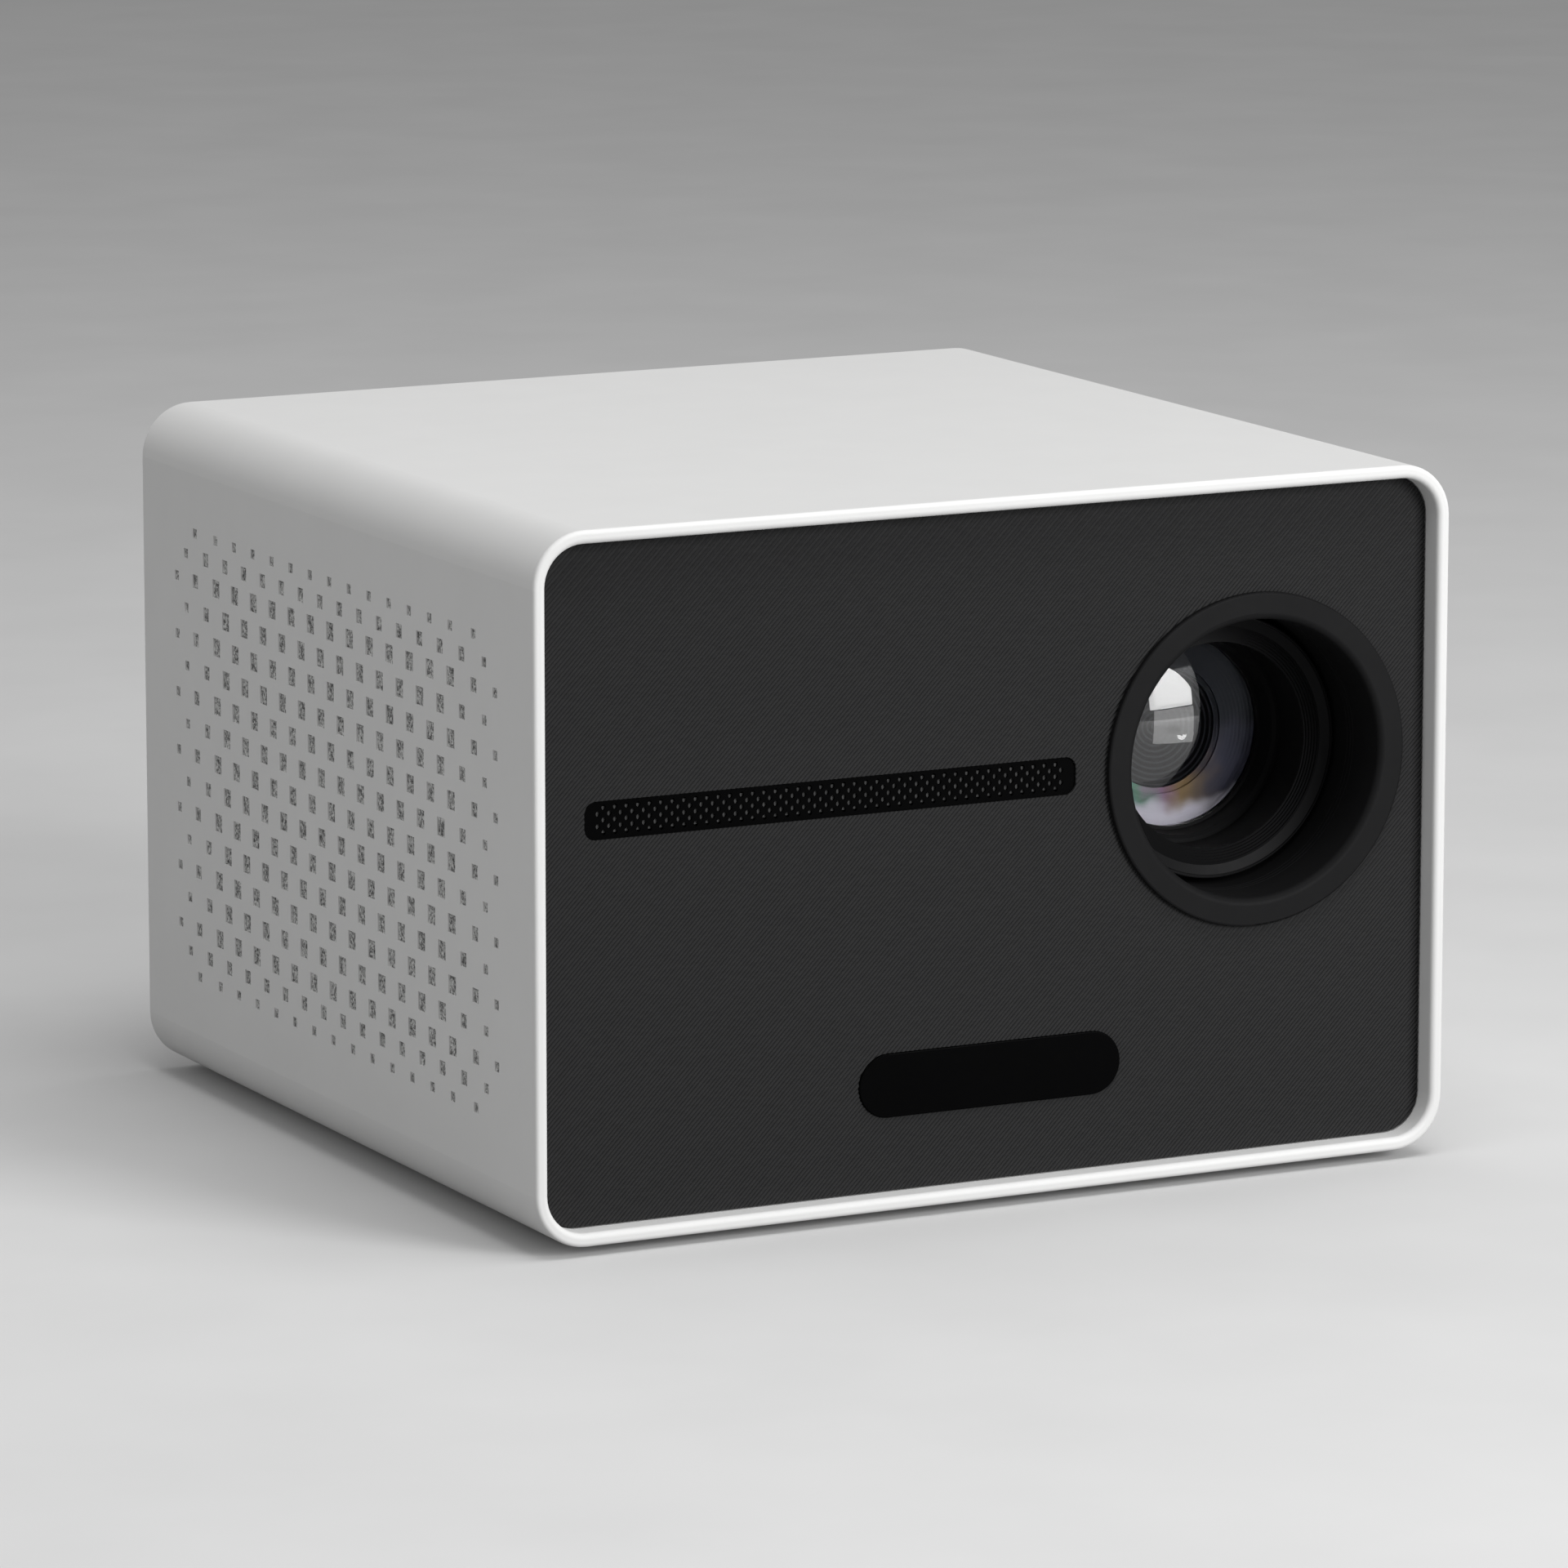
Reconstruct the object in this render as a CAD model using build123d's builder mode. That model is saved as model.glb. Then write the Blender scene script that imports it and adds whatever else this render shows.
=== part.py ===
from build123d import *

import math
import os

# Mini projector: a one-piece white sleeve with a woven front and a glass lens, and a light engine inside.
# Millimetres. Seen from the front, X runs to the right, Y to the back and Z up.
# The origin is on the ground under the middle of the sleeve. The lens looks along -Y.

os.makedirs("parts", exist_ok=True)

# Sleeve
body_width = 210.0
body_depth = 197.5
body_height = 145.0
wall = 2.8
corner_radius = 11.2
rim_outer_round = 0.9
rim_inner_round = 1.2
corner_block = 10.6       # side of the screw blocks in the corners
corner_screw_inset = 5.5  # screw axis from the inner walls
front_lug_thickness = 4.0
rear_block_length = 20.0

# Side vents: a staggered field of square holes that shrink towards its edge
vent_step_y = 4.95
vent_step_z = 6.34
vent_columns = 16         # half steps from the middle to the last column
vent_rows = 8
vent_large = (3.6, 3.9)
vent_medium = (2.8, 3.0)
vent_small = (2.1, 2.1)
vent_column_spread = (0.28, 0.25, 0.25, 0.1)  # half steps outwards, from the last column inwards
vent_row_draw = (0.36, 0.14)                  # half steps inwards, from the last row inwards
screen_thickness = 0.8
screen_margin = 3.0       # round the field of holes
screen_corner = 3.0

# General gaps and fasteners
seat_gap = 0.3
slide_gap = 0.05
screw_radius = 1.5
screw_clearance = 0.2
thread_gap = 0.05
head_radius = 2.6
head_height = 2.0
head_gap = 0.5            # round a sunk head
small_screw_radius = 1.0
small_head_radius = 1.8
small_head_height = 1.3
countersink_radius = 2.9
recess_width = 0.6        # cross recess in a screw head
screw_end_gap = 0.2       # a screw's tip to the end of the wall that holds it
blind_end = 1.0           # material left beyond a blind hole
cut_margin = 1.0          # how far a cut runs past the face that it starts from

# Front
front_recess = 4.9
fabric_thickness = 0.6
panel_thickness = 2.5
skirt_depth = 4.5
skirt_wall = 1.6
post_radius = 3.2
post_length = 10.75

# Slot grille
slot_from_left = 13.3
slot_length = 111.4
slot_height = 7.9
slot_corner = 2.5
slot_centre_height = 85.5
grille_skin = 0.45
grille_border = 3.0
grille_flange = 1.2
grille_wall = 1.1
cloth_thickness = 0.5
dot_step_x = 2.56
dot_step_z = 1.27
dot_width = 0.9
dot_height = 1.1
dot_rows = 5

# Badge plate
badge_length = 60.4
badge_height = 13.3
badge_centre_height = 25.0
badge_proud = 0.3
badge_edge_round = 0.24
badge_pin_radius = 1.5
badge_pin_spacing = 36.0

# Lens place and bezel
lens_from_right = 43.3
lens_centre_height = 85.35
ring_radius = 35.0
ring_proud = 1.2
well_radius = 29.2
well_wall = 2.0
well_groove_depths = (10.8, 12.0, 13.2)  # fine grooves round the well, behind the ring's face
well_groove = 0.12
well_depth = 23.0
ring_edge_round = 0.5
ring_mouth_round = 1.5
hook_width = 6.0
hook_reach = 1.3
hook_thickness = 1.9
hook_play = 0.6           # hooks to the back of the panel
hook_count = 4

# Lens barrel and glass
barrel_front_depth = 17.0
barrel_head_radius = 27.9
barrel_head_length = 14.0
barrel_edge_round = 0.3
barrel_radius = 26.0
barrel_length = 56.0
hood_mouth_radius = 27.1
hood_edge_groove = 0.3     # fine groove between the edge and the bevel
hood_bevel_radius = 25.2   # smooth bevel outside this, fine ridges inside
hood_bevel_depth = 0.8
hood_throat_radius = 21.8
hood_ridge_depth = 1.2
hood_ridge_count = 6
hood_ridge_height = 0.2
hood_lip = 0.8
hood_bore_radius = 22.6
hood_step_depth = 30.0     # step in the bore, behind the ring's face
hood_step_radius = 21.1
hood_step_width = 0.7
glass_depth = 35.6
glass_window_radius = 19.9
glass_lip = 1.0
glass_radius = 24.0
front_glass_edge = 4.0
front_glass_curve = 52.0
front_glass_back_curve = 90.0
aperture_length = 13.0
aperture_radius = 9.5
aperture_lip = 1.2        # thickness of the aperture's edge
aperture_foot = 4.0       # width of the ring's back face
aperture_mouth_wall = 3.5
aperture_mouth_lip = 1.2   # straight lip outside the cone
middle_seat_wall = 1.2
middle_seat_round = 0.5
middle_glass_depth = 7.15  # its back behind the ring's front
middle_glass_radius = 12.0
middle_glass_edge = 3.5
middle_glass_curve = 48.0
rear_glass_edge = 5.0
rear_glass_curve = 60.0
rear_glass_land = 2.0     # flat ring between the dome and the retaining ring
retainer_length = 3.0
retainer_width = 3.5
retainer_notch_width = 1.5
retainer_notch_depth = 1.0

# Focus drive
focus_half_turn = 45.0
focus_travel = 1.5        # each way from rest
pin_depth = 46.0          # focus pins behind the ring's face
pin_radius = 1.4
pin_side_gap = 0.2
pin_root = 0.6            # barrel wall left under a pin
pin_end_gap = 1.0         # pin's end to the outside of the focus ring
mount_wall = 3.0
mount_front_depth = 33.0
mount_back_depth = 81.0
mount_flange_thickness = 4.0
mount_flange_width = 72.0
mount_flange_height = 60.0
mount_screw_x = 32.0
mount_screw_z = 25.0
mount_flange_corner = 4.0
ring_front_depth = 37.0
ring_length = 14.0
ring_wall = 3.3
gear_face = 5.0
gear_module = 1.0
ring_teeth = 70
pinion_teeth = 12
pressure_angle = 20.0
tooth_backlash = 0.16
tooth_addendum = 0.8
tooth_dedendum = 1.15
mesh_gap = 0.1
clip_thickness = 1.2
clip_groove = 0.5
clip_height = 1.5         # above the mount
clip_opening = 9.7
shoulder_height = 3.0
shoulder_length = 2.0
shoulder_slope = 1.0
pinion_angle = 225.0
motor_width = 12.0
motor_height = 10.0
motor_length = 24.0
motor_front_depth = 45.0
motor_shaft_radius = 1.5
motor_shaft_depth = 8.0   # in the motor
motor_boss_wall = 1.0
motor_corner = 1.0
bracket_sheet = 1.5
bracket_tab_height = 10.0  # above the motor's shaft

# Light engine
engine_width = 76.0
engine_height = 60.0
engine_length = 58.0
engine_wall = 3.0
engine_corner = 2.0
cover_thickness = 3.0
cover_screw_inset = 4.8   # from the case's front and back
cover_screw_depth = 6.0   # in the case's wall
groove_depth = 1.0
groove_gap = 0.15
front_aperture_radius = 24.0
rear_aperture_radius = 17.5
window_length = 12.0
window_height = 26.0
fresnel_thickness = 2.0
lcd_frame_thickness = 3.0
lcd_glass_thickness = 2.0
lcd_window_width = 62.0
lcd_window_height = 38.0
holder_thickness = 4.0
holder_lip = 2.0          # behind the condenser
condenser_radius = 21.0
condenser_edge = 2.0
condenser_curve = 32.0
condenser_lip = 2.0
front_fresnel_from_front = 9.0
lcd_from_front = 16.0
rear_fresnel_from_front = 29.0
holder_from_front = 42.0
reflector_mouth = 17.0
reflector_throat = 9.0
reflector_length = 9.0
reflector_wall = 1.2
reflector_rim = 2.5       # flange beyond the rear opening
reflector_gap = 0.2       # to the light source
reflector_flare = 1.0
led_board_size = 40.0
led_board_thickness = 1.6
led_chip_size = 11.0
led_chip_thickness = 1.0
sink_width = 72.0
sink_height = 56.0
sink_base = 5.0
fin_thickness = 1.2
fin_count = 15
sink_screw_x = 31.0
sink_screw_z = 23.0
spacer_radius = 3.6

# Exhaust fan
fan_size = 60.0
fan_depth = 15.0
fan_bore_radius = 28.3
fan_blade_radius = 27.6
fan_hub_radius = 14.5
fan_hub_wall = 1.2
fan_blade_count = 7
fan_blade_chord = 11.0
fan_blade_thickness = 1.2
fan_blade_pitch = 38.0
fan_screw_spacing = 50.0
fan_base_radius = 14.0
fan_base_thickness = 2.0
strut_width = 4.0
shaft_radius = 1.0
shaft_end_gap = 0.5
rotor_gap = 1.0           # rotor to the frame's front and base
hub_face = 1.5
hub_round = 0.8
fan_corner = 4.0
strut_count = 4
strut_turn = 20.0
bearing_gap = 2.0         # bearing tube to the hub's inside
bearing_radius = 3.0

# Blower
blower_size = 50.0
blower_depth = 15.0
blower_wall = 1.5
blower_bore_radius = 21.5
blower_inlet_radius = 14.0
blower_drop = 8.5         # centre below the lens axis
blower_wheel_radius = 19.5
blower_wheel_inner = 14.5
blower_blade_count = 24
blower_blade_thickness = 0.9
blower_hub_radius = 7.0
blower_corner = 5.0
blower_blade_turn = 25.0
blower_web = 1.0

# Rear panel
rear_recess = 1.0
rear_thickness = 2.5
fan_vent_radius = 27.0
fan_vent_step = 3.9
fan_vent_hole = 3.0
port_gap = 0.4
port_corner = 1.0
rear_screw_depth = 10.0   # in the sleeve's blocks
fan_screw_depth = 7.5

# Base tray
tray_thickness = 2.0
tray_half_length = 74.0
tray_rear_half_width = 89.0
tray_rear_gap = 3.5        # tray to the rear panel
standoff_height = 6.0
standoff_radius = 3.0
boss_radius = 4.5
pillar_radius = 4.5
engine_boss_height = 6.0
engine_screw_seat = 6.0   # pillar top over the screw's head
pillar_inset_x = 8.0      # from the engine's sides
pillar_inset_y = 6.0      # from its front and back
pillar_board_gap = 1.5    # third pillar to the main board

# Feet and tripod insert
foot_height = 2.0
foot_radius = 8.0
foot_round = 0.6
foot_inset_x = 25.0
foot_inset_y = 32.75
insert_thread_radius = 2.55
insert_radius = 5.0
insert_length = 9.0
insert_offset = 25.0      # in front of the middle
insert_end = 1.0          # its closed end
insert_lift = 0.2         # insert over the sleeve's floor, which it is pulled against
insert_mouth_radius = 3.5  # hole in the sleeve for the tripod's screw
base_screw_depth = 6.0    # in the tray
insert_boss_radius = 8.0

# Main board
board_thickness = 1.6
board_left = -40.0
board_width = 110.0
board_length = 75.0
board_corner = 2.0
board_screw_back = 18.0   # rear screws clear of the sockets
board_back_gap = 3.3      # board edge to the rear panel
hole_inset = 4.0
hdmi_width = 15.0
hdmi_height = 6.0
hdmi_depth = 12.5
hdmi_positions = (-22.0, 2.0)
usb_width = 14.2
usb_height = 7.0
usb_depth = 14.0
usb_positions = (24.0, 42.0)
socket_wall = 0.5
jack_position = 60.0
jack_width = 8.0
jack_depth = 14.0
jack_nose_radius = 3.6
jack_bore_radius = 1.8
jack_bore_length = 12.0
jack_nose_length = 2.6
mouth_recess = 0.3
socket_back = 1.5
socket_corner = 0.8
tongue_recess = 2.0
chip_size = 16.0
chip_height = 1.4
chip_from_left = 33.0
memory_size = (12.0, 8.0)
memory_spacing = 14.0
memory_offset = 32.0      # right of the large chip
power_chip_size = 8.0
power_chip_offset = 56.0

# Power supply, inlet and button
psu_left = -92.0
psu_width = 46.0
psu_front = -48.0
psu_length = 100.0
transformer_size = (28.0, 24.0, 20.0)
transformer_from_front = 38.0
bulk_radius = 9.0
bulk_height = 26.0
bulk_from_front = 65.0
output_radius = 5.0
output_from_front = 16.0
output_spacing = 12.0
filter_size = (24.0, 10.0, 14.0)
filter_from_front = 83.0
inlet_x = -68.0
inlet_z = 26.0
inlet_width = 24.0
inlet_height = 14.0
inlet_flange = 1.5
inlet_body_depth = 17.0
inlet_hollow_depth = 12.5
inlet_hollow_width = 17.6
inlet_hollow_height = 9.0
inlet_pin_radius = 1.2
inlet_pin_spacing = 8.6
inlet_pin_length = 11.0
inlet_pin_tail = 4.0
inlet_pin_round = 0.8
inlet_corner = 2.0
inlet_snap = 3.0          # flange beyond the inlet's sides
button_x = -68.0
button_z = 62.0
button_radius = 6.0
button_proud = 0.8
button_gap = 0.25
button_flange = 1.6
button_flange_thickness = 1.0
button_stem_radius = 2.0
button_stem_length = 3.0
plunger_radius = 1.5
plunger_length = 3.4
plunger_gap = 0.3         # to the button's stem
plunger_proud = 1.9       # out of the switch
switch_size = 6.0
switch_height = 2.4
switch_bore_depth = 3.2
switch_board_width = 34.0
switch_board_height = 12.0
switch_board_thickness = 1.2
switch_post_spacing = 26.0
switch_post_radius = 2.4
switch_screw_depth = 5.0

# Speakers
speaker_box_height = 44.0
speaker_box_depth = 34.0
speaker_box_wall = 2.0
speaker_box_corner = 3.0
speaker_box_gap = 4.75    # box front behind the front panel
speaker_margin = 1.0
speaker_spread = 26.0
speaker_radius = 20.0
speaker_cut_radius = 18.2
speaker_flange = 1.6
magnet_radius = 12.0
magnet_length = 8.0
basket_length = 14.0
basket_wall = 1.0
basket_step = 2.0         # straight part behind the flange
pole_radius = 6.0
cone_thickness = 1.0
cone_recess = 0.3         # behind the flange's front
surround_width = 3.0
cone_pole_gap = 5.0       # cone's inner edge to the magnet
dome_rise = 1.5
ear_spacing_x = 90.0
ear_width = 9.0
ear_height = 8.0
ear_thickness = 3.0
ear_post_radius = 3.0

# Leads
flex_width = 30.0
flex_thickness = 0.3
flex_bend = 10.0
flex_slot_gap = 0.8
flex_plug_depth = 1.0
connector_height = 3.0
connector_depth = 5.0
connector_inset = 10.0    # from the board's front edge
lead_radius = 0.6
lead_spacing = 3.0
lead_offset = 3.0         # first lead left of the optical axis
lead_bend = 8.0

# Places worked out from the sizes above
front_y = -body_depth / 2
back_y = body_depth / 2
bottom_z = foot_height
mid_z = bottom_z + body_height / 2
inner_width = body_width - 2 * wall
inner_height = body_height - 2 * wall
inner_radius = corner_radius - wall
floor_z = bottom_z + wall
fabric_y = front_y + front_recess
panel_y = fabric_y + fabric_thickness
panel_back_y = panel_y + panel_thickness
post_end_y = panel_back_y + post_length
corner_span_x = inner_width - 2 * corner_screw_inset
corner_span_z = inner_height - 2 * corner_screw_inset
slot_x = -body_width / 2 + slot_from_left + slot_length / 2
slot_z = bottom_z + slot_centre_height
badge_z = bottom_z + badge_centre_height
lens_x = body_width / 2 - lens_from_right
lens_z = bottom_z + lens_centre_height
ring_face_y = fabric_y - ring_proud
well_outer_radius = well_radius + well_wall
barrel_y = ring_face_y + barrel_front_depth
barrel_back_y = barrel_y + barrel_length
glass_y = ring_face_y + glass_depth
pin_y = ring_face_y + pin_depth
mount_bore_radius = barrel_radius + slide_gap
mount_radius = mount_bore_radius + mount_wall
mount_y = ring_face_y + mount_front_depth
mount_back_y = ring_face_y + mount_back_depth
ring_bore_radius = mount_radius + slide_gap
focus_ring_y = ring_face_y + ring_front_depth
focus_ring_back_y = focus_ring_y + ring_length
engine_y = mount_back_y
engine_back_y = engine_y + engine_length
engine_bottom_z = lens_z - engine_height / 2
cover_z = lens_z + engine_height / 2 - cover_thickness
sink_y = engine_back_y + led_board_thickness
rear_y = back_y - rear_recess
rear_inner_y = rear_y - rear_thickness
fan_y = rear_inner_y - fan_depth
fin_end_y = fan_y - 2 * seat_gap
tray_top_z = floor_z + tray_thickness
board_z = tray_top_z + standoff_height
board_top_z = board_z + board_thickness
board_back_y = rear_inner_y - board_back_gap
board_front_y = board_back_y - board_length
boss_bottom_z = engine_bottom_z - engine_boss_height
foot_x = body_width / 2 - foot_inset_x
foot_y = body_depth / 2 - foot_inset_y
blower_x = lens_x - engine_width / 2 - seat_gap - blower_size / 2
blower_z = lens_z - blower_drop
window_y = engine_y + lcd_from_front + lcd_frame_thickness / 2
blower_y = window_y - blower_depth / 2
speaker_box_y = panel_back_y + speaker_box_gap
speaker_box_length = slot_length - 2 * speaker_margin
ear_spacing_z = speaker_box_height + ear_height
psu_z = board_z
psu_top_z = psu_z + board_thickness
lead_end_y = board_front_y + connector_inset
optical_axis = Axis((lens_x, 0, lens_z), (0, 1, 0))


def upright(y):
    """The plane at depth y seen from the front: local x is X, local y is Z, outwards is to the front."""
    return Plane(origin=(0, y, 0), x_dir=(1, 0, 0), z_dir=(0, -1, 0))


def lens_plane(y):
    """The upright plane at depth y with its origin on the optical axis."""
    return Plane(origin=(lens_x, y, lens_z), x_dir=(1, 0, 0), z_dir=(0, -1, 0))


def from_behind(x, y, z):
    """The plane at depth y seen from behind, with its origin at x, z."""
    return Plane(origin=(x, y, z), x_dir=(1, 0, 0), z_dir=(0, 1, 0))


def radial_plane(x, z):
    """The level plane through an axis that runs along Y: local x is the radius, local y is Y."""
    return Plane(origin=(x, 0, z), x_dir=(1, 0, 0), z_dir=(0, 0, 1))


def save(piece, name):
    """Label a finished piece and write it under its name."""
    piece.part.label = name
    export_step(piece.part, f"parts/{name}.step")


def dome_height(curve_radius, rim_radius):
    """How far a spherical face stands over the circle of its rim."""
    return curve_radius - math.sqrt(curve_radius ** 2 - rim_radius ** 2)


def dome_angle(curve_radius, rim_radius):
    """The angle at a spherical face's centre from its pole to the circle of its rim."""
    return math.degrees(math.asin(rim_radius / curve_radius))


def vent_holes():
    """Centre and size of each square hole in one side: (y, z, width, height)."""
    holes = []
    for column in range(-vent_columns, vent_columns + 1):
        for row in range(-vent_rows, vent_rows + 1):
            at_corner = abs(column) == vent_columns and abs(row) == vent_rows
            if (column + row) % 2 or at_corner:
                continue
            from_side = vent_columns - abs(column)
            from_end = vent_rows - abs(row)
            if from_side < 2 or from_end < 1:
                size = vent_small
            elif from_side < 4 or from_end < 2:
                size = vent_medium
            else:
                size = vent_large
            spread = vent_column_spread[from_side] if from_side < len(vent_column_spread) else 0
            draw_in = vent_row_draw[from_end] if from_end < len(vent_row_draw) else 0
            y = math.copysign(abs(column) + spread, column) * vent_step_y
            z = mid_z + math.copysign(abs(row) - draw_in, row) * vent_step_z
            holes.append((y, z, size[0], size[1]))
    return holes


def gear_outline(teeth, turn):
    """Points of a spur gear's outline with involute flanks and a tooth centred at the angle turn."""
    pitch_radius = gear_module * teeth / 2
    base_radius = pitch_radius * math.cos(math.radians(pressure_angle))
    tip_radius = pitch_radius + tooth_addendum * gear_module
    root_radius = pitch_radius - tooth_dedendum * gear_module
    flank_radius = max(base_radius, root_radius)
    pitch_inv = math.tan(math.radians(pressure_angle)) - math.radians(pressure_angle)
    half_tooth = (math.pi * gear_module / 2 - tooth_backlash) / (2 * pitch_radius)
    flank = []
    for share in (0, 0.35, 0.7, 1):
        radius = flank_radius + share * (tip_radius - flank_radius)
        roll = math.acos(min(1, base_radius / radius))
        flank.append((radius, half_tooth + pitch_inv - (math.tan(roll) - roll)))
    if root_radius < flank_radius:
        flank.insert(0, (root_radius, flank[0][1]))
    points = []
    for tooth in range(teeth):
        middle = math.radians(turn) + 2 * math.pi * tooth / teeth
        for radius, half in flank:
            points.append((radius * math.cos(middle - half), radius * math.sin(middle - half)))
        for radius, half in reversed(flank):
            points.append((radius * math.cos(middle + half), radius * math.sin(middle + half)))
    return points


def pan_screws(plane, places, shank, length, head, height):
    """Pan-head screws whose heads rest on the plane at the given places and whose shanks run into it."""
    with BuildPart() as screws:
        with Locations(plane):
            with Locations(*places):
                Cylinder(head, height, align=(Align.CENTER, Align.CENTER, Align.MIN))
                Cylinder(shank, length, align=(Align.CENTER, Align.CENTER, Align.MAX))
        with Locations(plane.offset(height)):
            with Locations(*places):
                Box(head, recess_width, height, mode=Mode.SUBTRACT)
                Box(recess_width, head, height, mode=Mode.SUBTRACT)
    return screws


def flat_screws(plane, places, length):
    """Countersunk screws whose heads lie just under the plane at the given places."""
    head = countersink_radius - thread_gap
    depth = head - screw_radius
    sunk = plane.offset(-thread_gap)
    with BuildPart() as screws:
        with Locations(sunk):
            with Locations(*places):
                Cone(screw_radius, head, depth, align=(Align.CENTER, Align.CENTER, Align.MAX))
                Cylinder(screw_radius, length, align=(Align.CENTER, Align.CENTER, Align.MAX))
                Box(head, recess_width, depth, mode=Mode.SUBTRACT)
                Box(recess_width, head, depth, mode=Mode.SUBTRACT)
    return screws


def grid_places(span_x, span_y):
    """The four corners of a rectangle about the origin of a plane."""
    return [(x, y) for x in (-span_x / 2, span_x / 2) for y in (-span_y / 2, span_y / 2)]


def shifted(places, x, y):
    """The same places moved by x and y."""
    return [(place[0] + x, place[1] + y) for place in places]


# Screw places that more than one piece shares
corner_places = shifted(grid_places(corner_span_x, corner_span_z), 0, mid_z)
foot_places = grid_places(2 * foot_x, 2 * foot_y)
ear_places = shifted(grid_places(ear_spacing_x, ear_spacing_z), slot_x, slot_z)
mount_places = grid_places(2 * mount_screw_x, 2 * mount_screw_z)
sink_places = grid_places(2 * sink_screw_x, 2 * sink_screw_z)
fan_places = grid_places(fan_screw_spacing, fan_screw_spacing)
board_places = [
    (x, y)
    for x in (board_left + hole_inset, board_left + board_width - hole_inset)
    for y in (board_front_y + hole_inset, board_back_y - board_screw_back)
]
psu_places = [
    (x, y)
    for x in (psu_left + hole_inset, psu_left + psu_width - hole_inset)
    for y in (psu_front + hole_inset, psu_front + psu_length - hole_inset)
]
pillar_x = engine_width / 2 - pillar_inset_x
pillar_places = [
    (lens_x - pillar_x, engine_y + pillar_inset_y),
    (lens_x + pillar_x, engine_y + pillar_inset_y),
    (lens_x - pillar_x, board_front_y - pillar_board_gap - pillar_radius),
    (lens_x + pillar_x, engine_back_y - pillar_inset_y),
]
clearance_radius = screw_radius + screw_clearance
pilot_radius = screw_radius + thread_gap
small_pilot_radius = small_screw_radius + thread_gap

# Housing sleeve
with BuildPart() as housing_sleeve:
    with BuildSketch(upright(back_y)):
        with Locations((0, mid_z)):
            RectangleRounded(body_width, body_height, corner_radius)
            RectangleRounded(inner_width, inner_height, inner_radius, mode=Mode.SUBTRACT)
    extrude(amount=body_depth)
    rim = housing_sleeve.faces().sort_by(Axis.Y)[0]
    fillet(rim.outer_wire().edges(), radius=rim_outer_round)
    rim = housing_sleeve.faces().sort_by(Axis.Y)[0]
    fillet(rim.inner_wires()[0].edges(), radius=rim_inner_round)
    for block_back_y, block_length in (
        (post_end_y + front_lug_thickness, front_lug_thickness),
        (rear_inner_y, rear_block_length),
    ):
        with BuildSketch(upright(block_back_y)):
            with Locations((0, mid_z)):
                RectangleRounded(inner_width + wall, inner_height + wall, inner_radius + wall / 2)
                Rectangle(inner_width + wall, inner_height - 2 * corner_block, mode=Mode.SUBTRACT)
                Rectangle(inner_width - 2 * corner_block, inner_height + wall, mode=Mode.SUBTRACT)
        extrude(amount=block_length)
    with BuildSketch(upright(post_end_y + front_lug_thickness)):
        with Locations(*corner_places):
            Circle(clearance_radius)
    extrude(amount=front_lug_thickness, mode=Mode.SUBTRACT)
    with BuildSketch(upright(rear_inner_y)):
        with Locations(*corner_places):
            Circle(pilot_radius)
    extrude(amount=rear_block_length - blind_end, mode=Mode.SUBTRACT)
    with BuildSketch(Plane.YZ):
        for hole_y, hole_z, hole_width, hole_height in vent_holes():
            with Locations((hole_y, hole_z)):
                Rectangle(hole_width, hole_height)
    extrude(amount=body_width / 2 + cut_margin, both=True, mode=Mode.SUBTRACT)
    with Locations(Plane(origin=(0, 0, bottom_z), x_dir=(1, 0, 0), z_dir=(0, 0, -1))):
        with Locations(*foot_places):
            CounterSinkHole(clearance_radius, countersink_radius, wall + cut_margin, counter_sink_angle=90)
        with Locations((0, insert_offset)):
            Hole(insert_mouth_radius, depth=wall + cut_margin)
save(housing_sleeve, "housing_sleeve")

# Front panel with its skirt, corner posts and speaker posts
with BuildPart() as front_panel:
    with BuildSketch(upright(panel_back_y)):
        with Locations((0, mid_z)):
            RectangleRounded(inner_width - 2 * seat_gap, inner_height - 2 * seat_gap, inner_radius - seat_gap)
        with Locations((lens_x, lens_z)):
            Circle(well_outer_radius + seat_gap, mode=Mode.SUBTRACT)
        with Locations((slot_x, slot_z)):
            RectangleRounded(slot_length, slot_height, slot_corner, mode=Mode.SUBTRACT)
        with Locations((-badge_pin_spacing / 2, badge_z), (badge_pin_spacing / 2, badge_z)):
            Circle(badge_pin_radius + thread_gap, mode=Mode.SUBTRACT)
    extrude(amount=panel_thickness)
    with BuildSketch(upright(panel_back_y + skirt_depth)):
        with Locations((0, mid_z)):
            RectangleRounded(inner_width - 2 * seat_gap, inner_height - 2 * seat_gap, inner_radius - seat_gap)
            RectangleRounded(
                inner_width - 2 * seat_gap - 2 * skirt_wall,
                inner_height - 2 * seat_gap - 2 * skirt_wall,
                inner_radius - seat_gap - skirt_wall,
                mode=Mode.SUBTRACT,
            )
    extrude(amount=skirt_depth)
    with BuildSketch(upright(post_end_y)):
        with Locations(*corner_places):
            Circle(post_radius)
    extrude(amount=post_length)
    with BuildSketch(upright(speaker_box_y)):
        with Locations(*ear_places):
            Circle(ear_post_radius)
    extrude(amount=speaker_box_gap)
    with BuildSketch(upright(post_end_y)):
        with Locations(*corner_places):
            Circle(pilot_radius)
    extrude(amount=post_length, mode=Mode.SUBTRACT)
    with BuildSketch(upright(speaker_box_y)):
        with Locations(*ear_places):
            Circle(pilot_radius)
    extrude(amount=speaker_box_gap, mode=Mode.SUBTRACT)
save(front_panel, "front_panel")

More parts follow.
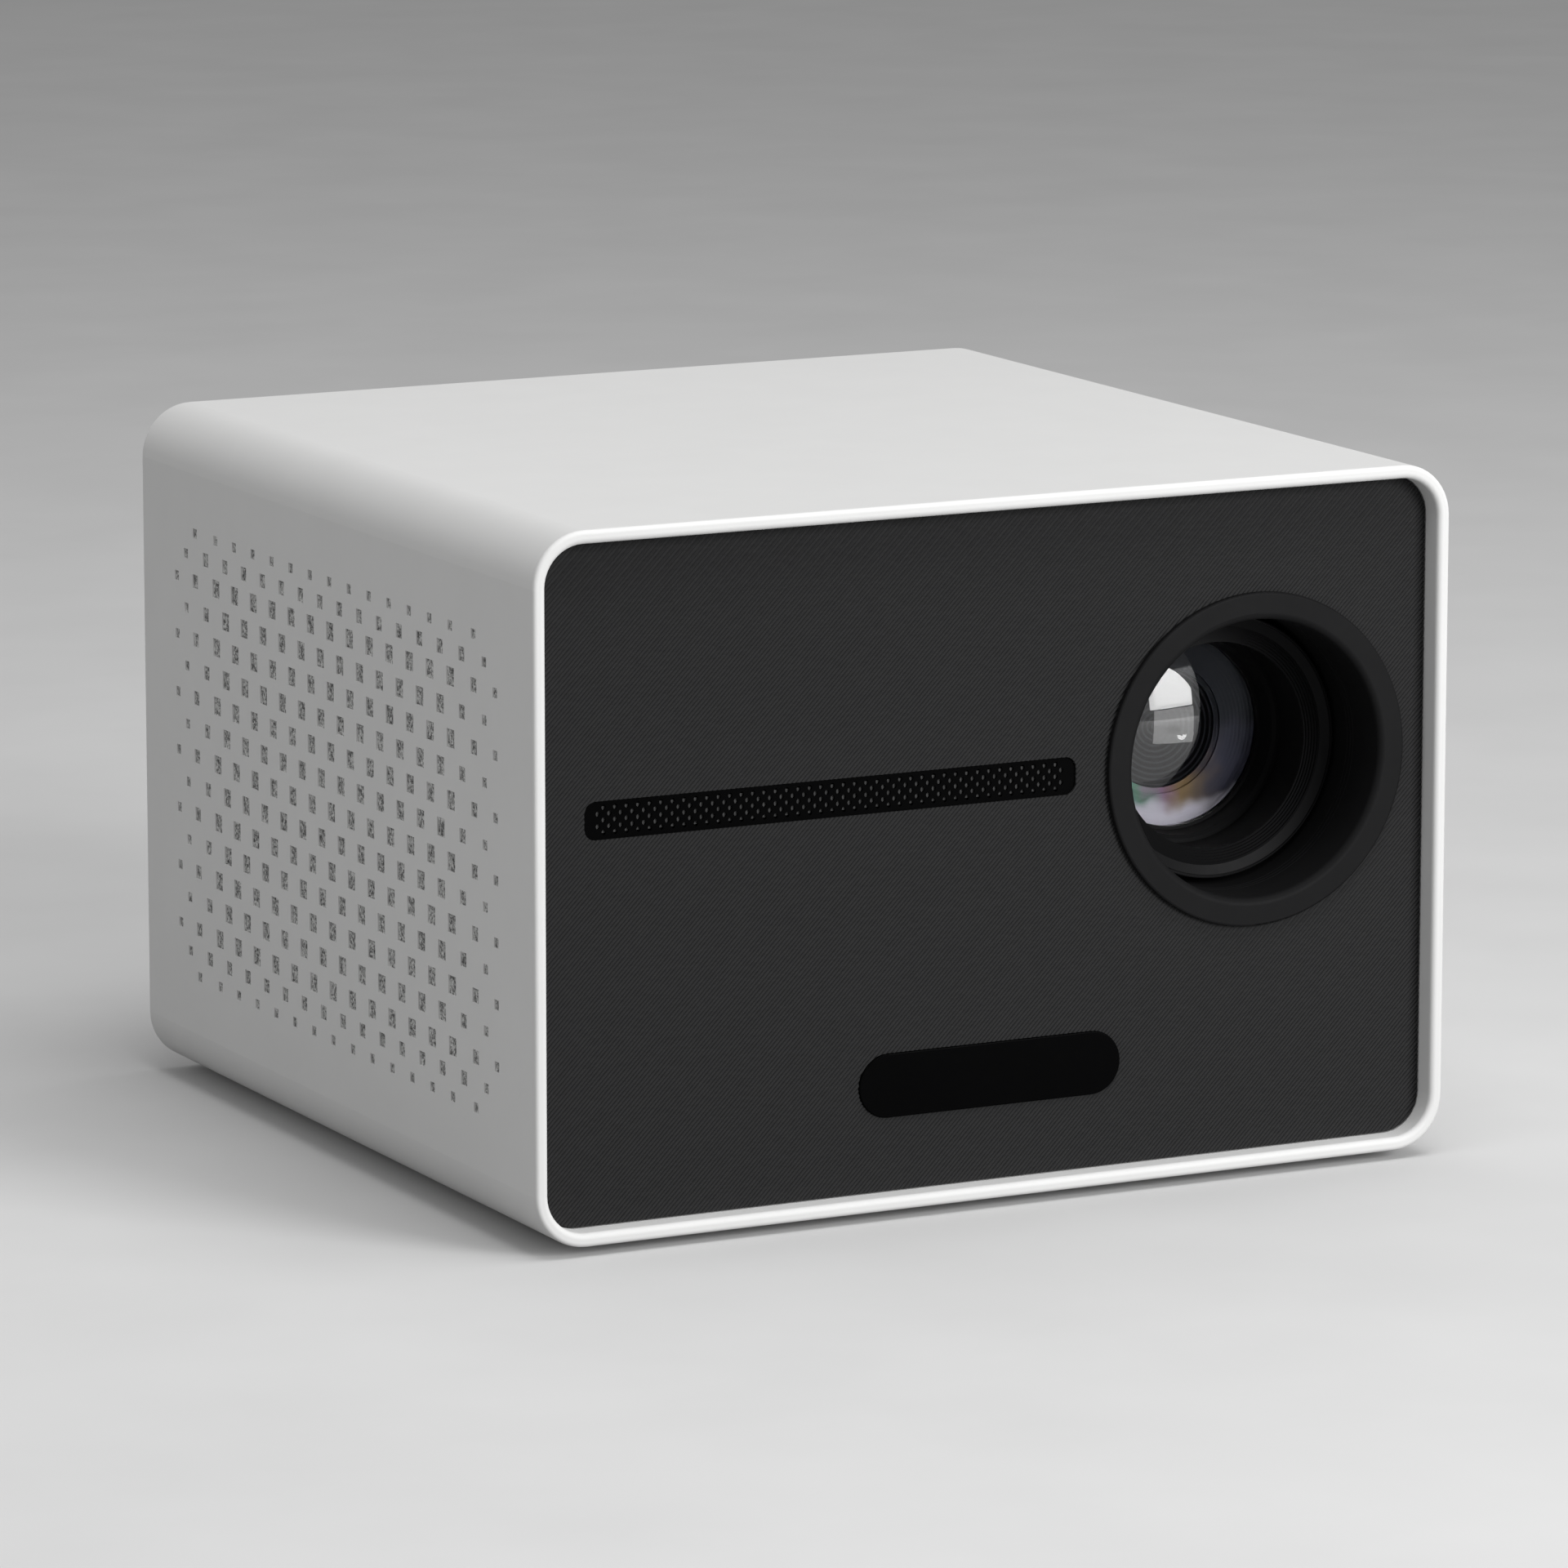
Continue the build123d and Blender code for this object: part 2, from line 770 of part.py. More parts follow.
# Woven front skin, glued to the panel
with BuildPart() as front_fabric:
    with BuildSketch(upright(panel_y)):
        with Locations((0, mid_z)):
            RectangleRounded(inner_width - 2 * seat_gap, inner_height - 2 * seat_gap, inner_radius - seat_gap)
        with Locations((lens_x, lens_z)):
            Circle(well_outer_radius + seat_gap, mode=Mode.SUBTRACT)
        with Locations((slot_x, slot_z)):
            RectangleRounded(slot_length, slot_height, slot_corner, mode=Mode.SUBTRACT)
        with Locations((0, badge_z)):
            SlotOverall(badge_length + 2 * thread_gap, badge_height + 2 * thread_gap, mode=Mode.SUBTRACT)
    extrude(amount=fabric_thickness)
save(front_fabric, "front_fabric")

# Perforated insert of the long slot
with BuildPart() as slot_grille:
    with BuildSketch(upright(panel_back_y)):
        with Locations((slot_x, slot_z)):
            RectangleRounded(
                slot_length - 4 * thread_gap, slot_height - 4 * thread_gap, slot_corner - 2 * thread_gap,
            )
    extrude(amount=panel_thickness)
    with BuildSketch(upright(panel_back_y + grille_flange)):
        with Locations((slot_x, slot_z)):
            RectangleRounded(slot_length + 2 * grille_border, slot_height + 2 * grille_border, slot_corner)
    extrude(amount=grille_flange)
    with BuildSketch(upright(panel_back_y + grille_flange)):
        with Locations((slot_x, slot_z)):
            RectangleRounded(
                slot_length - 2 * grille_wall, slot_height - 2 * grille_wall, slot_corner - grille_wall,
            )
    extrude(amount=panel_thickness + grille_flange - grille_skin, mode=Mode.SUBTRACT)
    with BuildSketch(upright(panel_y + grille_skin)):
        for dot_row in range(dot_rows):
            dot_z = slot_z + (dot_row - (dot_rows - 1) / 2) * dot_step_z
            dot_count = int((slot_length - 2 * slot_corner) / dot_step_x) + dot_row % 2
            with Locations((slot_x, dot_z)):
                with GridLocations(dot_step_x, dot_step_z, dot_count, 1):
                    Ellipse(dot_width / 2, dot_height / 2)
    extrude(amount=grille_skin, mode=Mode.SUBTRACT)
save(slot_grille, "slot_grille")

# Cloth behind the slot's holes
with BuildPart() as grille_cloth:
    with BuildSketch(upright(panel_y + grille_skin + cloth_thickness)):
        with Locations((slot_x, slot_z)):
            RectangleRounded(
                slot_length - 2 * grille_wall - seat_gap,
                slot_height - 2 * grille_wall - seat_gap,
                slot_corner - grille_wall - seat_gap / 2,
            )
    extrude(amount=cloth_thickness)
save(grille_cloth, "grille_cloth")

# Bare badge plate with two pins through the panel
with BuildPart() as badge_plate:
    with BuildSketch(upright(panel_y)):
        with Locations((0, badge_z)):
            SlotOverall(badge_length, badge_height)
    extrude(amount=fabric_thickness + badge_proud)
    badge_face = badge_plate.faces().sort_by(Axis.Y)[0]
    fillet(badge_face.outer_wire().edges(), radius=badge_edge_round)
    with BuildSketch(upright(panel_back_y)):
        with Locations((-badge_pin_spacing / 2, badge_z), (badge_pin_spacing / 2, badge_z)):
            Circle(badge_pin_radius)
    extrude(amount=panel_thickness)
save(badge_plate, "badge_plate")

# Ring and well round the lens, held by hooks behind the panel
with BuildPart() as lens_bezel:
    with BuildSketch(radial_plane(lens_x, lens_z)):
        with BuildLine():
            grooves = []
            for well_groove_depth in reversed(well_groove_depths):
                groove_y = ring_face_y + well_groove_depth
                grooves.append((well_radius, groove_y + well_groove))
                grooves.append((well_radius + well_groove, groove_y))
                grooves.append((well_radius, groove_y - well_groove))
            Polyline(
                (well_radius, ring_face_y),
                (ring_radius, ring_face_y),
                (ring_radius, fabric_y),
                (well_outer_radius, fabric_y),
                (well_outer_radius, ring_face_y + well_depth),
                (well_radius, ring_face_y + well_depth),
                *grooves,
                close=True,
            )
        make_face()
    revolve(axis=optical_axis)
    ring_face = lens_bezel.faces().sort_by(Axis.Y)[0]
    fillet(ring_face.outer_wire().edges(), radius=ring_edge_round)
    ring_face = lens_bezel.faces().sort_by(Axis.Y)[0]
    fillet(ring_face.inner_wires()[0].edges(), radius=ring_mouth_round)
    with Locations(lens_plane(panel_back_y + hook_play)):
        with PolarLocations(well_radius + well_wall / 2, hook_count, start_angle=45):
            Box(
                well_wall / 2 + hook_reach, hook_width, hook_thickness,
                align=(Align.MIN, Align.CENTER, Align.MAX),
            )
save(lens_bezel, "lens_bezel")

# Lens barrel: ridged hood, glass seat and tube
ridge_step = hood_ridge_depth / hood_ridge_count
ridge_draw = (hood_bevel_radius - hood_throat_radius) / hood_ridge_count
ridges_y = barrel_y + hood_bevel_depth
throat_back_y = ridges_y + hood_ridge_depth + hood_lip
bore_step_y = ring_face_y + hood_step_depth
with BuildPart() as lens_barrel:
    with BuildSketch(radial_plane(lens_x, lens_z)):
        with BuildLine():
            hood = [
                (hood_mouth_radius + hood_edge_groove, barrel_y),
                (hood_mouth_radius + hood_edge_groove, barrel_y + hood_edge_groove),
                (hood_mouth_radius, barrel_y + hood_edge_groove),
                (hood_mouth_radius, barrel_y),
                (hood_bevel_radius, ridges_y),
            ]
            for ridge in range(hood_ridge_count):
                ridge_y = ridges_y + (ridge + 1) * ridge_step
                ridge_radius = hood_bevel_radius - (ridge + 1) * ridge_draw
                hood.append((ridge_radius, ridge_y - ridge_step - hood_ridge_height))
                hood.append((ridge_radius, ridge_y))
            Polyline(
                (barrel_radius, barrel_y + barrel_head_length),
                (barrel_head_radius, barrel_y + barrel_head_length),
                (barrel_head_radius, barrel_y),
                *hood,
                (hood_throat_radius, throat_back_y),
                (hood_bore_radius, throat_back_y + hood_lip),
                (hood_bore_radius, bore_step_y),
                (hood_step_radius + hood_step_width, bore_step_y),
                (hood_step_radius, bore_step_y + hood_step_width),
                (glass_window_radius + hood_step_width, glass_y - glass_lip),
                (glass_window_radius, glass_y - glass_lip),
                (glass_window_radius, glass_y),
                (glass_radius + slide_gap, glass_y),
                (glass_radius + slide_gap, barrel_back_y),
                (barrel_radius, barrel_back_y),
                close=True,
            )
        make_face()
    revolve(axis=optical_axis)
    rim_edges = lens_barrel.faces().sort_by(Axis.Y)[0].outer_wire().edges()
    fillet(rim_edges, radius=barrel_edge_round)
    with Locations(lens_plane(pin_y)):
        with PolarLocations(glass_radius + pin_root, 3):
            Cylinder(
                pin_radius + thread_gap, barrel_radius - glass_radius, rotation=(0, 90, 0),
                align=(Align.CENTER, Align.CENTER, Align.MIN), mode=Mode.SUBTRACT,
            )
save(lens_barrel, "lens_barrel")

# Front glass, bulging forwards through its seat
front_bulge = dome_height(front_glass_curve, glass_window_radius - seat_gap)
back_bulge = dome_height(front_glass_back_curve, glass_window_radius)
with BuildPart() as front_glass:
    with BuildSketch(radial_plane(lens_x, lens_z)):
        with BuildLine():
            bulge = CenterArc(
                (0, glass_y - front_bulge + front_glass_curve), front_glass_curve,
                -90, dome_angle(front_glass_curve, glass_window_radius - seat_gap),
            )
            hollow = CenterArc(
                (0, glass_y + front_glass_edge - back_bulge + front_glass_back_curve), front_glass_back_curve,
                -90, dome_angle(front_glass_back_curve, glass_window_radius),
            )
            Polyline(
                bulge @ 1,
                (glass_radius, glass_y),
                (glass_radius, glass_y + front_glass_edge),
                hollow @ 1,
            )
            Line(hollow @ 0, bulge @ 0)
        make_face()
    revolve(axis=optical_axis)
save(front_glass, "front_glass")

# Aperture ring between the glasses, stepped like a funnel and seating the middle glass
aperture_y = glass_y + front_glass_edge
aperture_back_y = aperture_y + aperture_length
middle_glass_back_y = aperture_y + middle_glass_depth
middle_seat_y = middle_glass_back_y - middle_glass_edge - middle_seat_round
middle_front_y = middle_seat_y - middle_seat_round
aperture_floor_radius = middle_glass_radius + middle_seat_wall
aperture_mouth_radius = glass_radius - aperture_mouth_wall
with BuildPart() as aperture_ring:
    with BuildSketch(radial_plane(lens_x, lens_z)):
        with BuildLine():
            Polyline(
                (glass_radius, aperture_y),
                (glass_radius, aperture_back_y),
                (glass_radius - aperture_foot, aperture_back_y),
                (middle_glass_radius, middle_glass_back_y + aperture_lip),
                (aperture_radius, middle_glass_back_y + aperture_lip),
                (aperture_radius, middle_glass_back_y),
                (middle_glass_radius + slide_gap, middle_glass_back_y),
                (middle_glass_radius + slide_gap, middle_seat_y),
                (aperture_floor_radius, middle_seat_y),
                (aperture_floor_radius, middle_front_y),
                (aperture_mouth_radius, aperture_y + aperture_mouth_lip),
                (aperture_mouth_radius, aperture_y),
                close=True,
            )
        make_face()
    revolve(axis=optical_axis)
save(aperture_ring, "aperture_ring")

# Middle glass, hollow on both sides
middle_hollow = dome_height(middle_glass_curve, aperture_radius)
middle_angle = dome_angle(middle_glass_curve, aperture_radius)
middle_y = middle_glass_back_y - middle_glass_edge
with BuildPart() as middle_glass:
    with BuildSketch(radial_plane(lens_x, lens_z)):
        with BuildLine():
            front = CenterArc(
                (0, middle_y + middle_hollow - middle_glass_curve), middle_glass_curve, 90, -middle_angle,
            )
            back = CenterArc(
                (0, middle_glass_back_y - middle_hollow + middle_glass_curve),
                middle_glass_curve, -90, middle_angle,
            )
            Polyline(
                front @ 1,
                (middle_glass_radius, middle_y),
                (middle_glass_radius, middle_glass_back_y),
                back @ 1,
            )
            Line(back @ 0, front @ 0)
        make_face()
    revolve(axis=optical_axis)
save(middle_glass, "middle_glass")

# Rear glass, full on both sides
rear_rim = glass_radius - retainer_width - rear_glass_land
rear_bulge = dome_height(rear_glass_curve, rear_rim)
rear_glass_back_y = aperture_back_y + rear_glass_edge
with BuildPart() as rear_glass:
    with BuildSketch(radial_plane(lens_x, lens_z)):
        with BuildLine():
            back = CenterArc(
                (0, rear_glass_back_y + rear_bulge - rear_glass_curve), rear_glass_curve,
                90, -dome_angle(rear_glass_curve, rear_rim),
            )
            Polyline(
                back @ 0,
                (0, aperture_back_y),
                (glass_radius, aperture_back_y),
                (glass_radius, rear_glass_back_y),
                back @ 1,
            )
        make_face()
    revolve(axis=optical_axis)
save(rear_glass, "rear_glass")

with BuildPart() as glass_retaining_ring:
    with BuildSketch(lens_plane(rear_glass_back_y + retainer_length)):
        Circle(glass_radius)
        Circle(glass_radius - retainer_width, mode=Mode.SUBTRACT)
    extrude(amount=retainer_length)
    with Locations(lens_plane(rear_glass_back_y + retainer_length)):
        with PolarLocations(glass_radius - retainer_width / 2, 2):
            Box(2 * retainer_width, retainer_notch_width, 2 * retainer_notch_depth, mode=Mode.SUBTRACT)
save(glass_retaining_ring, "glass_retaining_ring")

# Focus pins: from the barrel through the mount's helical slots into the focus ring
with BuildPart() as focus_pins:
    with Locations(lens_plane(pin_y)):
        with PolarLocations(glass_radius + pin_root, 3):
            Cylinder(
                pin_radius,
                ring_bore_radius + ring_wall - glass_radius - pin_root - pin_end_gap,
                rotation=(0, 90, 0),
                align=(Align.CENTER, Align.CENTER, Align.MIN),
            )
save(focus_pins, "focus_pins")

# Lens mount: fixed tube with three helical slots, a shoulder and a bolted flange
slot_radius = mount_bore_radius + mount_wall / 2
slot_half_angle = focus_half_turn + math.degrees((pin_radius + pin_side_gap) / slot_radius)
focus_lead = focus_travel * 360 / focus_half_turn
slot_rise = focus_lead * 2 * slot_half_angle / 360


def slot_path(pin_angle):
    """The helix that a focus pin's axis follows through the mount's wall."""
    start = math.radians(pin_angle - slot_half_angle)
    base = Plane(
        origin=(lens_x, pin_y + slot_rise / 2, lens_z),
        x_dir=(math.cos(start), 0, math.sin(start)),
        z_dir=(0, -1, 0),
    )
    return base * Helix(focus_lead, slot_rise, slot_radius)


slot_paths = [slot_path(pin_angle) for pin_angle in (0, 120, 240)]
with BuildPart() as lens_mount:
    with BuildSketch(radial_plane(lens_x, lens_z)):
        with BuildLine():
            Polyline(
                (mount_bore_radius, mount_y),
                (mount_radius, mount_y),
                (mount_radius, focus_ring_y - seat_gap - clip_thickness),
                (mount_radius - clip_groove, focus_ring_y - seat_gap - clip_thickness),
                (mount_radius - clip_groove, focus_ring_y - seat_gap + thread_gap),
                (mount_radius, focus_ring_y - seat_gap + thread_gap),
                (mount_radius, focus_ring_back_y + seat_gap),
                (mount_radius + shoulder_height, focus_ring_back_y + seat_gap),
                (mount_radius + shoulder_height, focus_ring_back_y + seat_gap + shoulder_length),
                (mount_radius, focus_ring_back_y + seat_gap + shoulder_length + shoulder_slope),
                (mount_radius, mount_back_y),
                (mount_bore_radius, mount_back_y),
                close=True,
            )
        make_face()
    revolve(axis=optical_axis)
    with BuildSketch(lens_plane(mount_back_y)):
        RectangleRounded(mount_flange_width, mount_flange_height, mount_flange_corner)
        Circle(mount_bore_radius, mode=Mode.SUBTRACT)
        with Locations(*mount_places):
            Circle(clearance_radius, mode=Mode.SUBTRACT)
    extrude(amount=mount_flange_thickness)
    for path in slot_paths:
        radial = Vector(*(path @ 0)) - Vector(lens_x, (path @ 0).Y, lens_z)
        with BuildSketch(Plane(origin=path @ 0, x_dir=radial, z_dir=path % 0)):
            Rectangle(mount_wall * 2, 2 * (pin_radius + pin_side_gap))
        sweep(path=path, is_frenet=True, mode=Mode.SUBTRACT)
save(lens_mount, "lens_mount")

# Focus ring: gear teeth at its front, axial slots for the pins behind them
slot_length_y = 2 * (focus_travel + pin_radius + pin_side_gap)
with BuildPart() as focus_ring:
    with BuildSketch(lens_plane(focus_ring_back_y)):
        Circle(ring_bore_radius + ring_wall)
        Circle(ring_bore_radius, mode=Mode.SUBTRACT)
    extrude(amount=ring_length)
    with BuildSketch(lens_plane(focus_ring_y + gear_face)):
        with BuildLine():
            Polyline(*gear_outline(ring_teeth, pinion_angle), close=True)
        make_face()
        Circle(ring_bore_radius, mode=Mode.SUBTRACT)
    extrude(amount=gear_face)
    with Locations(lens_plane(pin_y)):
        with PolarLocations(ring_bore_radius + ring_wall / 2, 3):
            Box(2 * ring_wall, 2 * (pin_radius + pin_side_gap / 2), slot_length_y, mode=Mode.SUBTRACT)
save(focus_ring, "focus_ring")

# Split clip in the mount's groove that keeps the focus ring on
with BuildPart() as focus_ring_clip:
    with BuildSketch(lens_plane(focus_ring_y - seat_gap)):
        Circle(mount_radius + clip_height)
        Circle(mount_radius - clip_groove + thread_gap, mode=Mode.SUBTRACT)
        with Locations((0, mount_radius)):
            Rectangle(clip_opening, 2 * (clip_height + clip_groove), mode=Mode.SUBTRACT)
    extrude(amount=clip_thickness - thread_gap)
save(focus_ring_clip, "focus_ring_clip")

# Focus motor, its pinion and its bracket
centre_distance = gear_module * (ring_teeth + pinion_teeth) / 2 + mesh_gap
pinion_x = lens_x + centre_distance * math.cos(math.radians(pinion_angle))
pinion_z = lens_z + centre_distance * math.sin(math.radians(pinion_angle))
motor_y = ring_face_y + motor_front_depth
pinion_turn = pinion_angle - 180 + 180 / pinion_teeth
with BuildPart() as focus_pinion:
    with BuildSketch(Plane(
        origin=(pinion_x, focus_ring_y + gear_face, pinion_z), x_dir=(1, 0, 0), z_dir=(0, -1, 0),
    )):
        with BuildLine():
            Polyline(*gear_outline(pinion_teeth, pinion_turn), close=True)
        make_face()
        Circle(motor_shaft_radius, mode=Mode.SUBTRACT)
    extrude(amount=gear_face)
    shaft_end_y = motor_y + motor_shaft_depth - seat_gap
    with BuildSketch(Plane(origin=(pinion_x, shaft_end_y, pinion_z), x_dir=(1, 0, 0), z_dir=(0, -1, 0))):
        Circle(motor_shaft_radius)
    extrude(amount=shaft_end_y - focus_ring_y)
save(focus_pinion, "focus_pinion")

motor_plane = Plane(origin=(pinion_x, motor_y + motor_length, pinion_z), x_dir=(1, 0, 0), z_dir=(0, -1, 0))
with BuildPart() as focus_motor:
    with BuildSketch(motor_plane):
        RectangleRounded(motor_width, motor_height, motor_corner)
    extrude(amount=motor_length)
    with BuildSketch(motor_plane.offset(motor_length)):
        Circle(motor_shaft_radius + motor_boss_wall)
        Circle(motor_shaft_radius + slide_gap, mode=Mode.SUBTRACT)
    extrude(amount=bracket_sheet + thread_gap)
    with BuildSketch(motor_plane.offset(motor_length)):
        Circle(motor_shaft_radius + slide_gap)
    extrude(amount=-motor_shaft_depth, mode=Mode.SUBTRACT)
save(focus_motor, "focus_motor")

motor_bottom_z = pinion_z - motor_height / 2
flange_y = mount_back_y - mount_flange_thickness
bracket_screw = (-mount_screw_x, -mount_screw_z)
with BuildPart() as motor_bracket:
    with BuildSketch(Plane(origin=(pinion_x, 0, 0), x_dir=(0, 1, 0), z_dir=(1, 0, 0))):
        with BuildLine():
            Polyline(
                (motor_y - bracket_sheet, motor_bottom_z - bracket_sheet),
                (flange_y, motor_bottom_z - bracket_sheet),
                (flange_y, pinion_z + bracket_tab_height),
                (flange_y - bracket_sheet, pinion_z + bracket_tab_height),
                (flange_y - bracket_sheet, motor_bottom_z),
                (motor_y, motor_bottom_z),
                (motor_y, pinion_z + motor_height / 2),
                (motor_y - bracket_sheet, pinion_z + motor_height / 2),
                close=True,
            )
        make_face()
    extrude(amount=motor_width / 2, both=True)
    with BuildSketch(motor_plane.offset(motor_length)):
        Circle(motor_shaft_radius + motor_boss_wall + thread_gap)
    extrude(amount=bracket_sheet, mode=Mode.SUBTRACT)
    with Locations(lens_plane(flange_y - bracket_sheet)):
        with Locations(bracket_screw):
            Hole(clearance_radius, depth=bracket_sheet)
save(motor_bracket, "motor_bracket")

mount_screw_length = mount_flange_thickness + engine_wall - screw_end_gap
with BuildPart() as lens_mount_screws:
    add(pan_screws(
        lens_plane(flange_y), [place for place in mount_places if place != bracket_screw],
        screw_radius, mount_screw_length, head_radius, head_height,
    ).part)
    add(pan_screws(
        lens_plane(flange_y - bracket_sheet), [bracket_screw],
        screw_radius, mount_screw_length + bracket_sheet, head_radius, head_height,
    ).part)

# Light engine case: open box with grooves for the optics, air windows and screw bosses
case_height = cover_z - engine_bottom_z
plate_places = {
    "front_fresnel": (front_fresnel_from_front, fresnel_thickness),
    "lcd": (lcd_from_front, lcd_frame_thickness),
    "rear_fresnel": (rear_fresnel_from_front, fresnel_thickness),
    "holder": (holder_from_front, holder_thickness),
}
case_mid_y = engine_y + engine_length / 2
flex_y = engine_y + lcd_from_front + lcd_frame_thickness / 2
with BuildPart() as engine_case:
    with BuildSketch(Plane.XY.offset(engine_bottom_z)):
        with Locations((lens_x, case_mid_y)):
            RectangleRounded(engine_width, engine_length, engine_corner)
    extrude(amount=case_height)
    with BuildSketch(Plane.XY.offset(engine_bottom_z + engine_wall)):
        with Locations((lens_x, case_mid_y)):
            Rectangle(engine_width - 2 * engine_wall, engine_length - 2 * engine_wall)
    extrude(amount=case_height, mode=Mode.SUBTRACT)
    with BuildSketch(Plane.XY.offset(engine_bottom_z + engine_wall - groove_depth)):
        for from_front, thickness in plate_places.values():
            with Locations((lens_x, engine_y + from_front + thickness / 2)):
                Rectangle(engine_width - 2 * engine_wall + 2 * groove_depth, thickness + 2 * groove_gap)
    extrude(amount=case_height, mode=Mode.SUBTRACT)
    with BuildSketch(lens_plane(engine_y + engine_wall)):
        Circle(front_aperture_radius)
        with Locations(*mount_places):
            Circle(pilot_radius)
    extrude(amount=engine_wall, mode=Mode.SUBTRACT)
    with BuildSketch(Plane(origin=(0, window_y, lens_z), x_dir=(0, 1, 0), z_dir=(1, 0, 0))):
        Rectangle(window_length, window_height)
    extrude(amount=body_width, both=True, mode=Mode.SUBTRACT)
    with BuildSketch(lens_plane(engine_back_y)):
        Circle(rear_aperture_radius)
    extrude(amount=engine_wall, mode=Mode.SUBTRACT)
    with BuildSketch(lens_plane(sink_y)):
        with Locations(*sink_places):
            Circle(spacer_radius)
    extrude(amount=led_board_thickness)
    with BuildSketch(lens_plane(sink_y)):
        with Locations(*sink_places):
            Circle(pilot_radius)
    extrude(amount=led_board_thickness + engine_wall, mode=Mode.SUBTRACT)
    with BuildSketch(Plane.XY.offset(boss_bottom_z)):
        with Locations(*pillar_places):
            Circle(pillar_radius)
    extrude(amount=engine_boss_height + engine_wall - groove_depth)
    with BuildSketch(Plane.XY.offset(boss_bottom_z)):
        with Locations(*pillar_places):
            Circle(pilot_radius)
    extrude(amount=engine_boss_height + screw_end_gap, mode=Mode.SUBTRACT)
    with BuildSketch(Plane.XY.offset(engine_bottom_z)):
        with Locations((lens_x, flex_y)):
            Rectangle(flex_width + 2 * flex_slot_gap, flex_thickness + 2 * flex_slot_gap)
    extrude(amount=engine_wall, mode=Mode.SUBTRACT)
    cover_screw_places = [
        (lens_x + side * (engine_width - engine_wall) / 2, y)
        for side in (-1, 1)
        for y in (engine_y + cover_screw_inset, engine_back_y - cover_screw_inset)
    ]
    with BuildSketch(Plane.XY.offset(cover_z)):
        with Locations(*cover_screw_places):
            Circle(small_pilot_radius)
    extrude(amount=-cover_screw_depth - blind_end, mode=Mode.SUBTRACT)
save(engine_case, "engine_case")

with BuildPart() as engine_cover:
    with BuildSketch(Plane.XY.offset(cover_z)):
        with Locations((lens_x, case_mid_y)):
            RectangleRounded(engine_width, engine_length, engine_corner)
        with Locations(*cover_screw_places):
            Circle(small_screw_radius + screw_clearance, mode=Mode.SUBTRACT)
    extrude(amount=cover_thickness)
save(engine_cover, "engine_cover")

engine_cover_screws = pan_screws(
    Plane.XY.offset(cover_z + cover_thickness), cover_screw_places,
    small_screw_radius, cover_thickness + cover_screw_depth, small_head_radius, small_head_height,
)

# Plates that stand in the grooves
plate_width = engine_width - 2 * engine_wall + 2 * groove_depth - 2 * groove_gap
plate_bottom_z = engine_bottom_z + engine_wall - groove_depth + groove_gap
plate_height = cover_z - groove_gap - plate_bottom_z
plate_mid_z = plate_bottom_z + plate_height / 2


def plate_back_y(name):
    """The back face of a plate in its groove."""
    return engine_y + plate_places[name][0] + plate_places[name][1]


with BuildPart() as fresnel_lenses:
    for slot_name in ("front_fresnel", "rear_fresnel"):
        with BuildSketch(upright(plate_back_y(slot_name))):
            with Locations((lens_x, plate_mid_z)):
                Rectangle(plate_width, plate_height)
        extrude(amount=fresnel_thickness)
save(fresnel_lenses, "fresnel_lenses")

with BuildPart() as lcd_frame:
    with BuildSketch(upright(plate_back_y("lcd"))):
        with Locations((lens_x, plate_mid_z)):
            Rectangle(plate_width, plate_height)
        with Locations((lens_x, lens_z)):
            Rectangle(lcd_window_width, lcd_window_height, mode=Mode.SUBTRACT)
    extrude(amount=lcd_frame_thickness)
save(lcd_frame, "lcd_frame")

with BuildPart() as lcd_panel:
    with BuildSketch(upright(plate_back_y("lcd") - (lcd_frame_thickness - lcd_glass_thickness) / 2)):
        with Locations((lens_x, lens_z)):
            Rectangle(lcd_window_width - 2 * groove_gap, lcd_window_height - 2 * groove_gap)
    extrude(amount=lcd_glass_thickness)
save(lcd_panel, "lcd_panel")

holder_back_y = plate_back_y("holder")
condenser_back_y = holder_back_y - holder_lip
with BuildPart() as condenser_holder:
    with BuildSketch(upright(holder_back_y)):
        with Locations((lens_x, plate_mid_z)):
            Rectangle(plate_width, plate_height)
        with Locations((lens_x, lens_z)):
            Circle(condenser_radius - condenser_lip, mode=Mode.SUBTRACT)
    extrude(amount=holder_thickness)
    with BuildSketch(lens_plane(condenser_back_y)):
        Circle(condenser_radius + slide_gap)
    extrude(amount=holder_thickness - holder_lip, mode=Mode.SUBTRACT)
save(condenser_holder, "condenser_holder")

condenser_bulge = dome_height(condenser_curve, condenser_radius)
with BuildPart() as condenser_lens:
    with BuildSketch(radial_plane(lens_x, lens_z)):
        with BuildLine():
            dome = CenterArc(
                (0, condenser_back_y - condenser_edge - condenser_bulge + condenser_curve), condenser_curve,
                -90, dome_angle(condenser_curve, condenser_radius),
            )
            Polyline(
                dome @ 1,
                (condenser_radius, condenser_back_y),
                (0, condenser_back_y),
                dome @ 0,
            )
        make_face()
    revolve(axis=optical_axis)
save(condenser_lens, "condenser_lens")

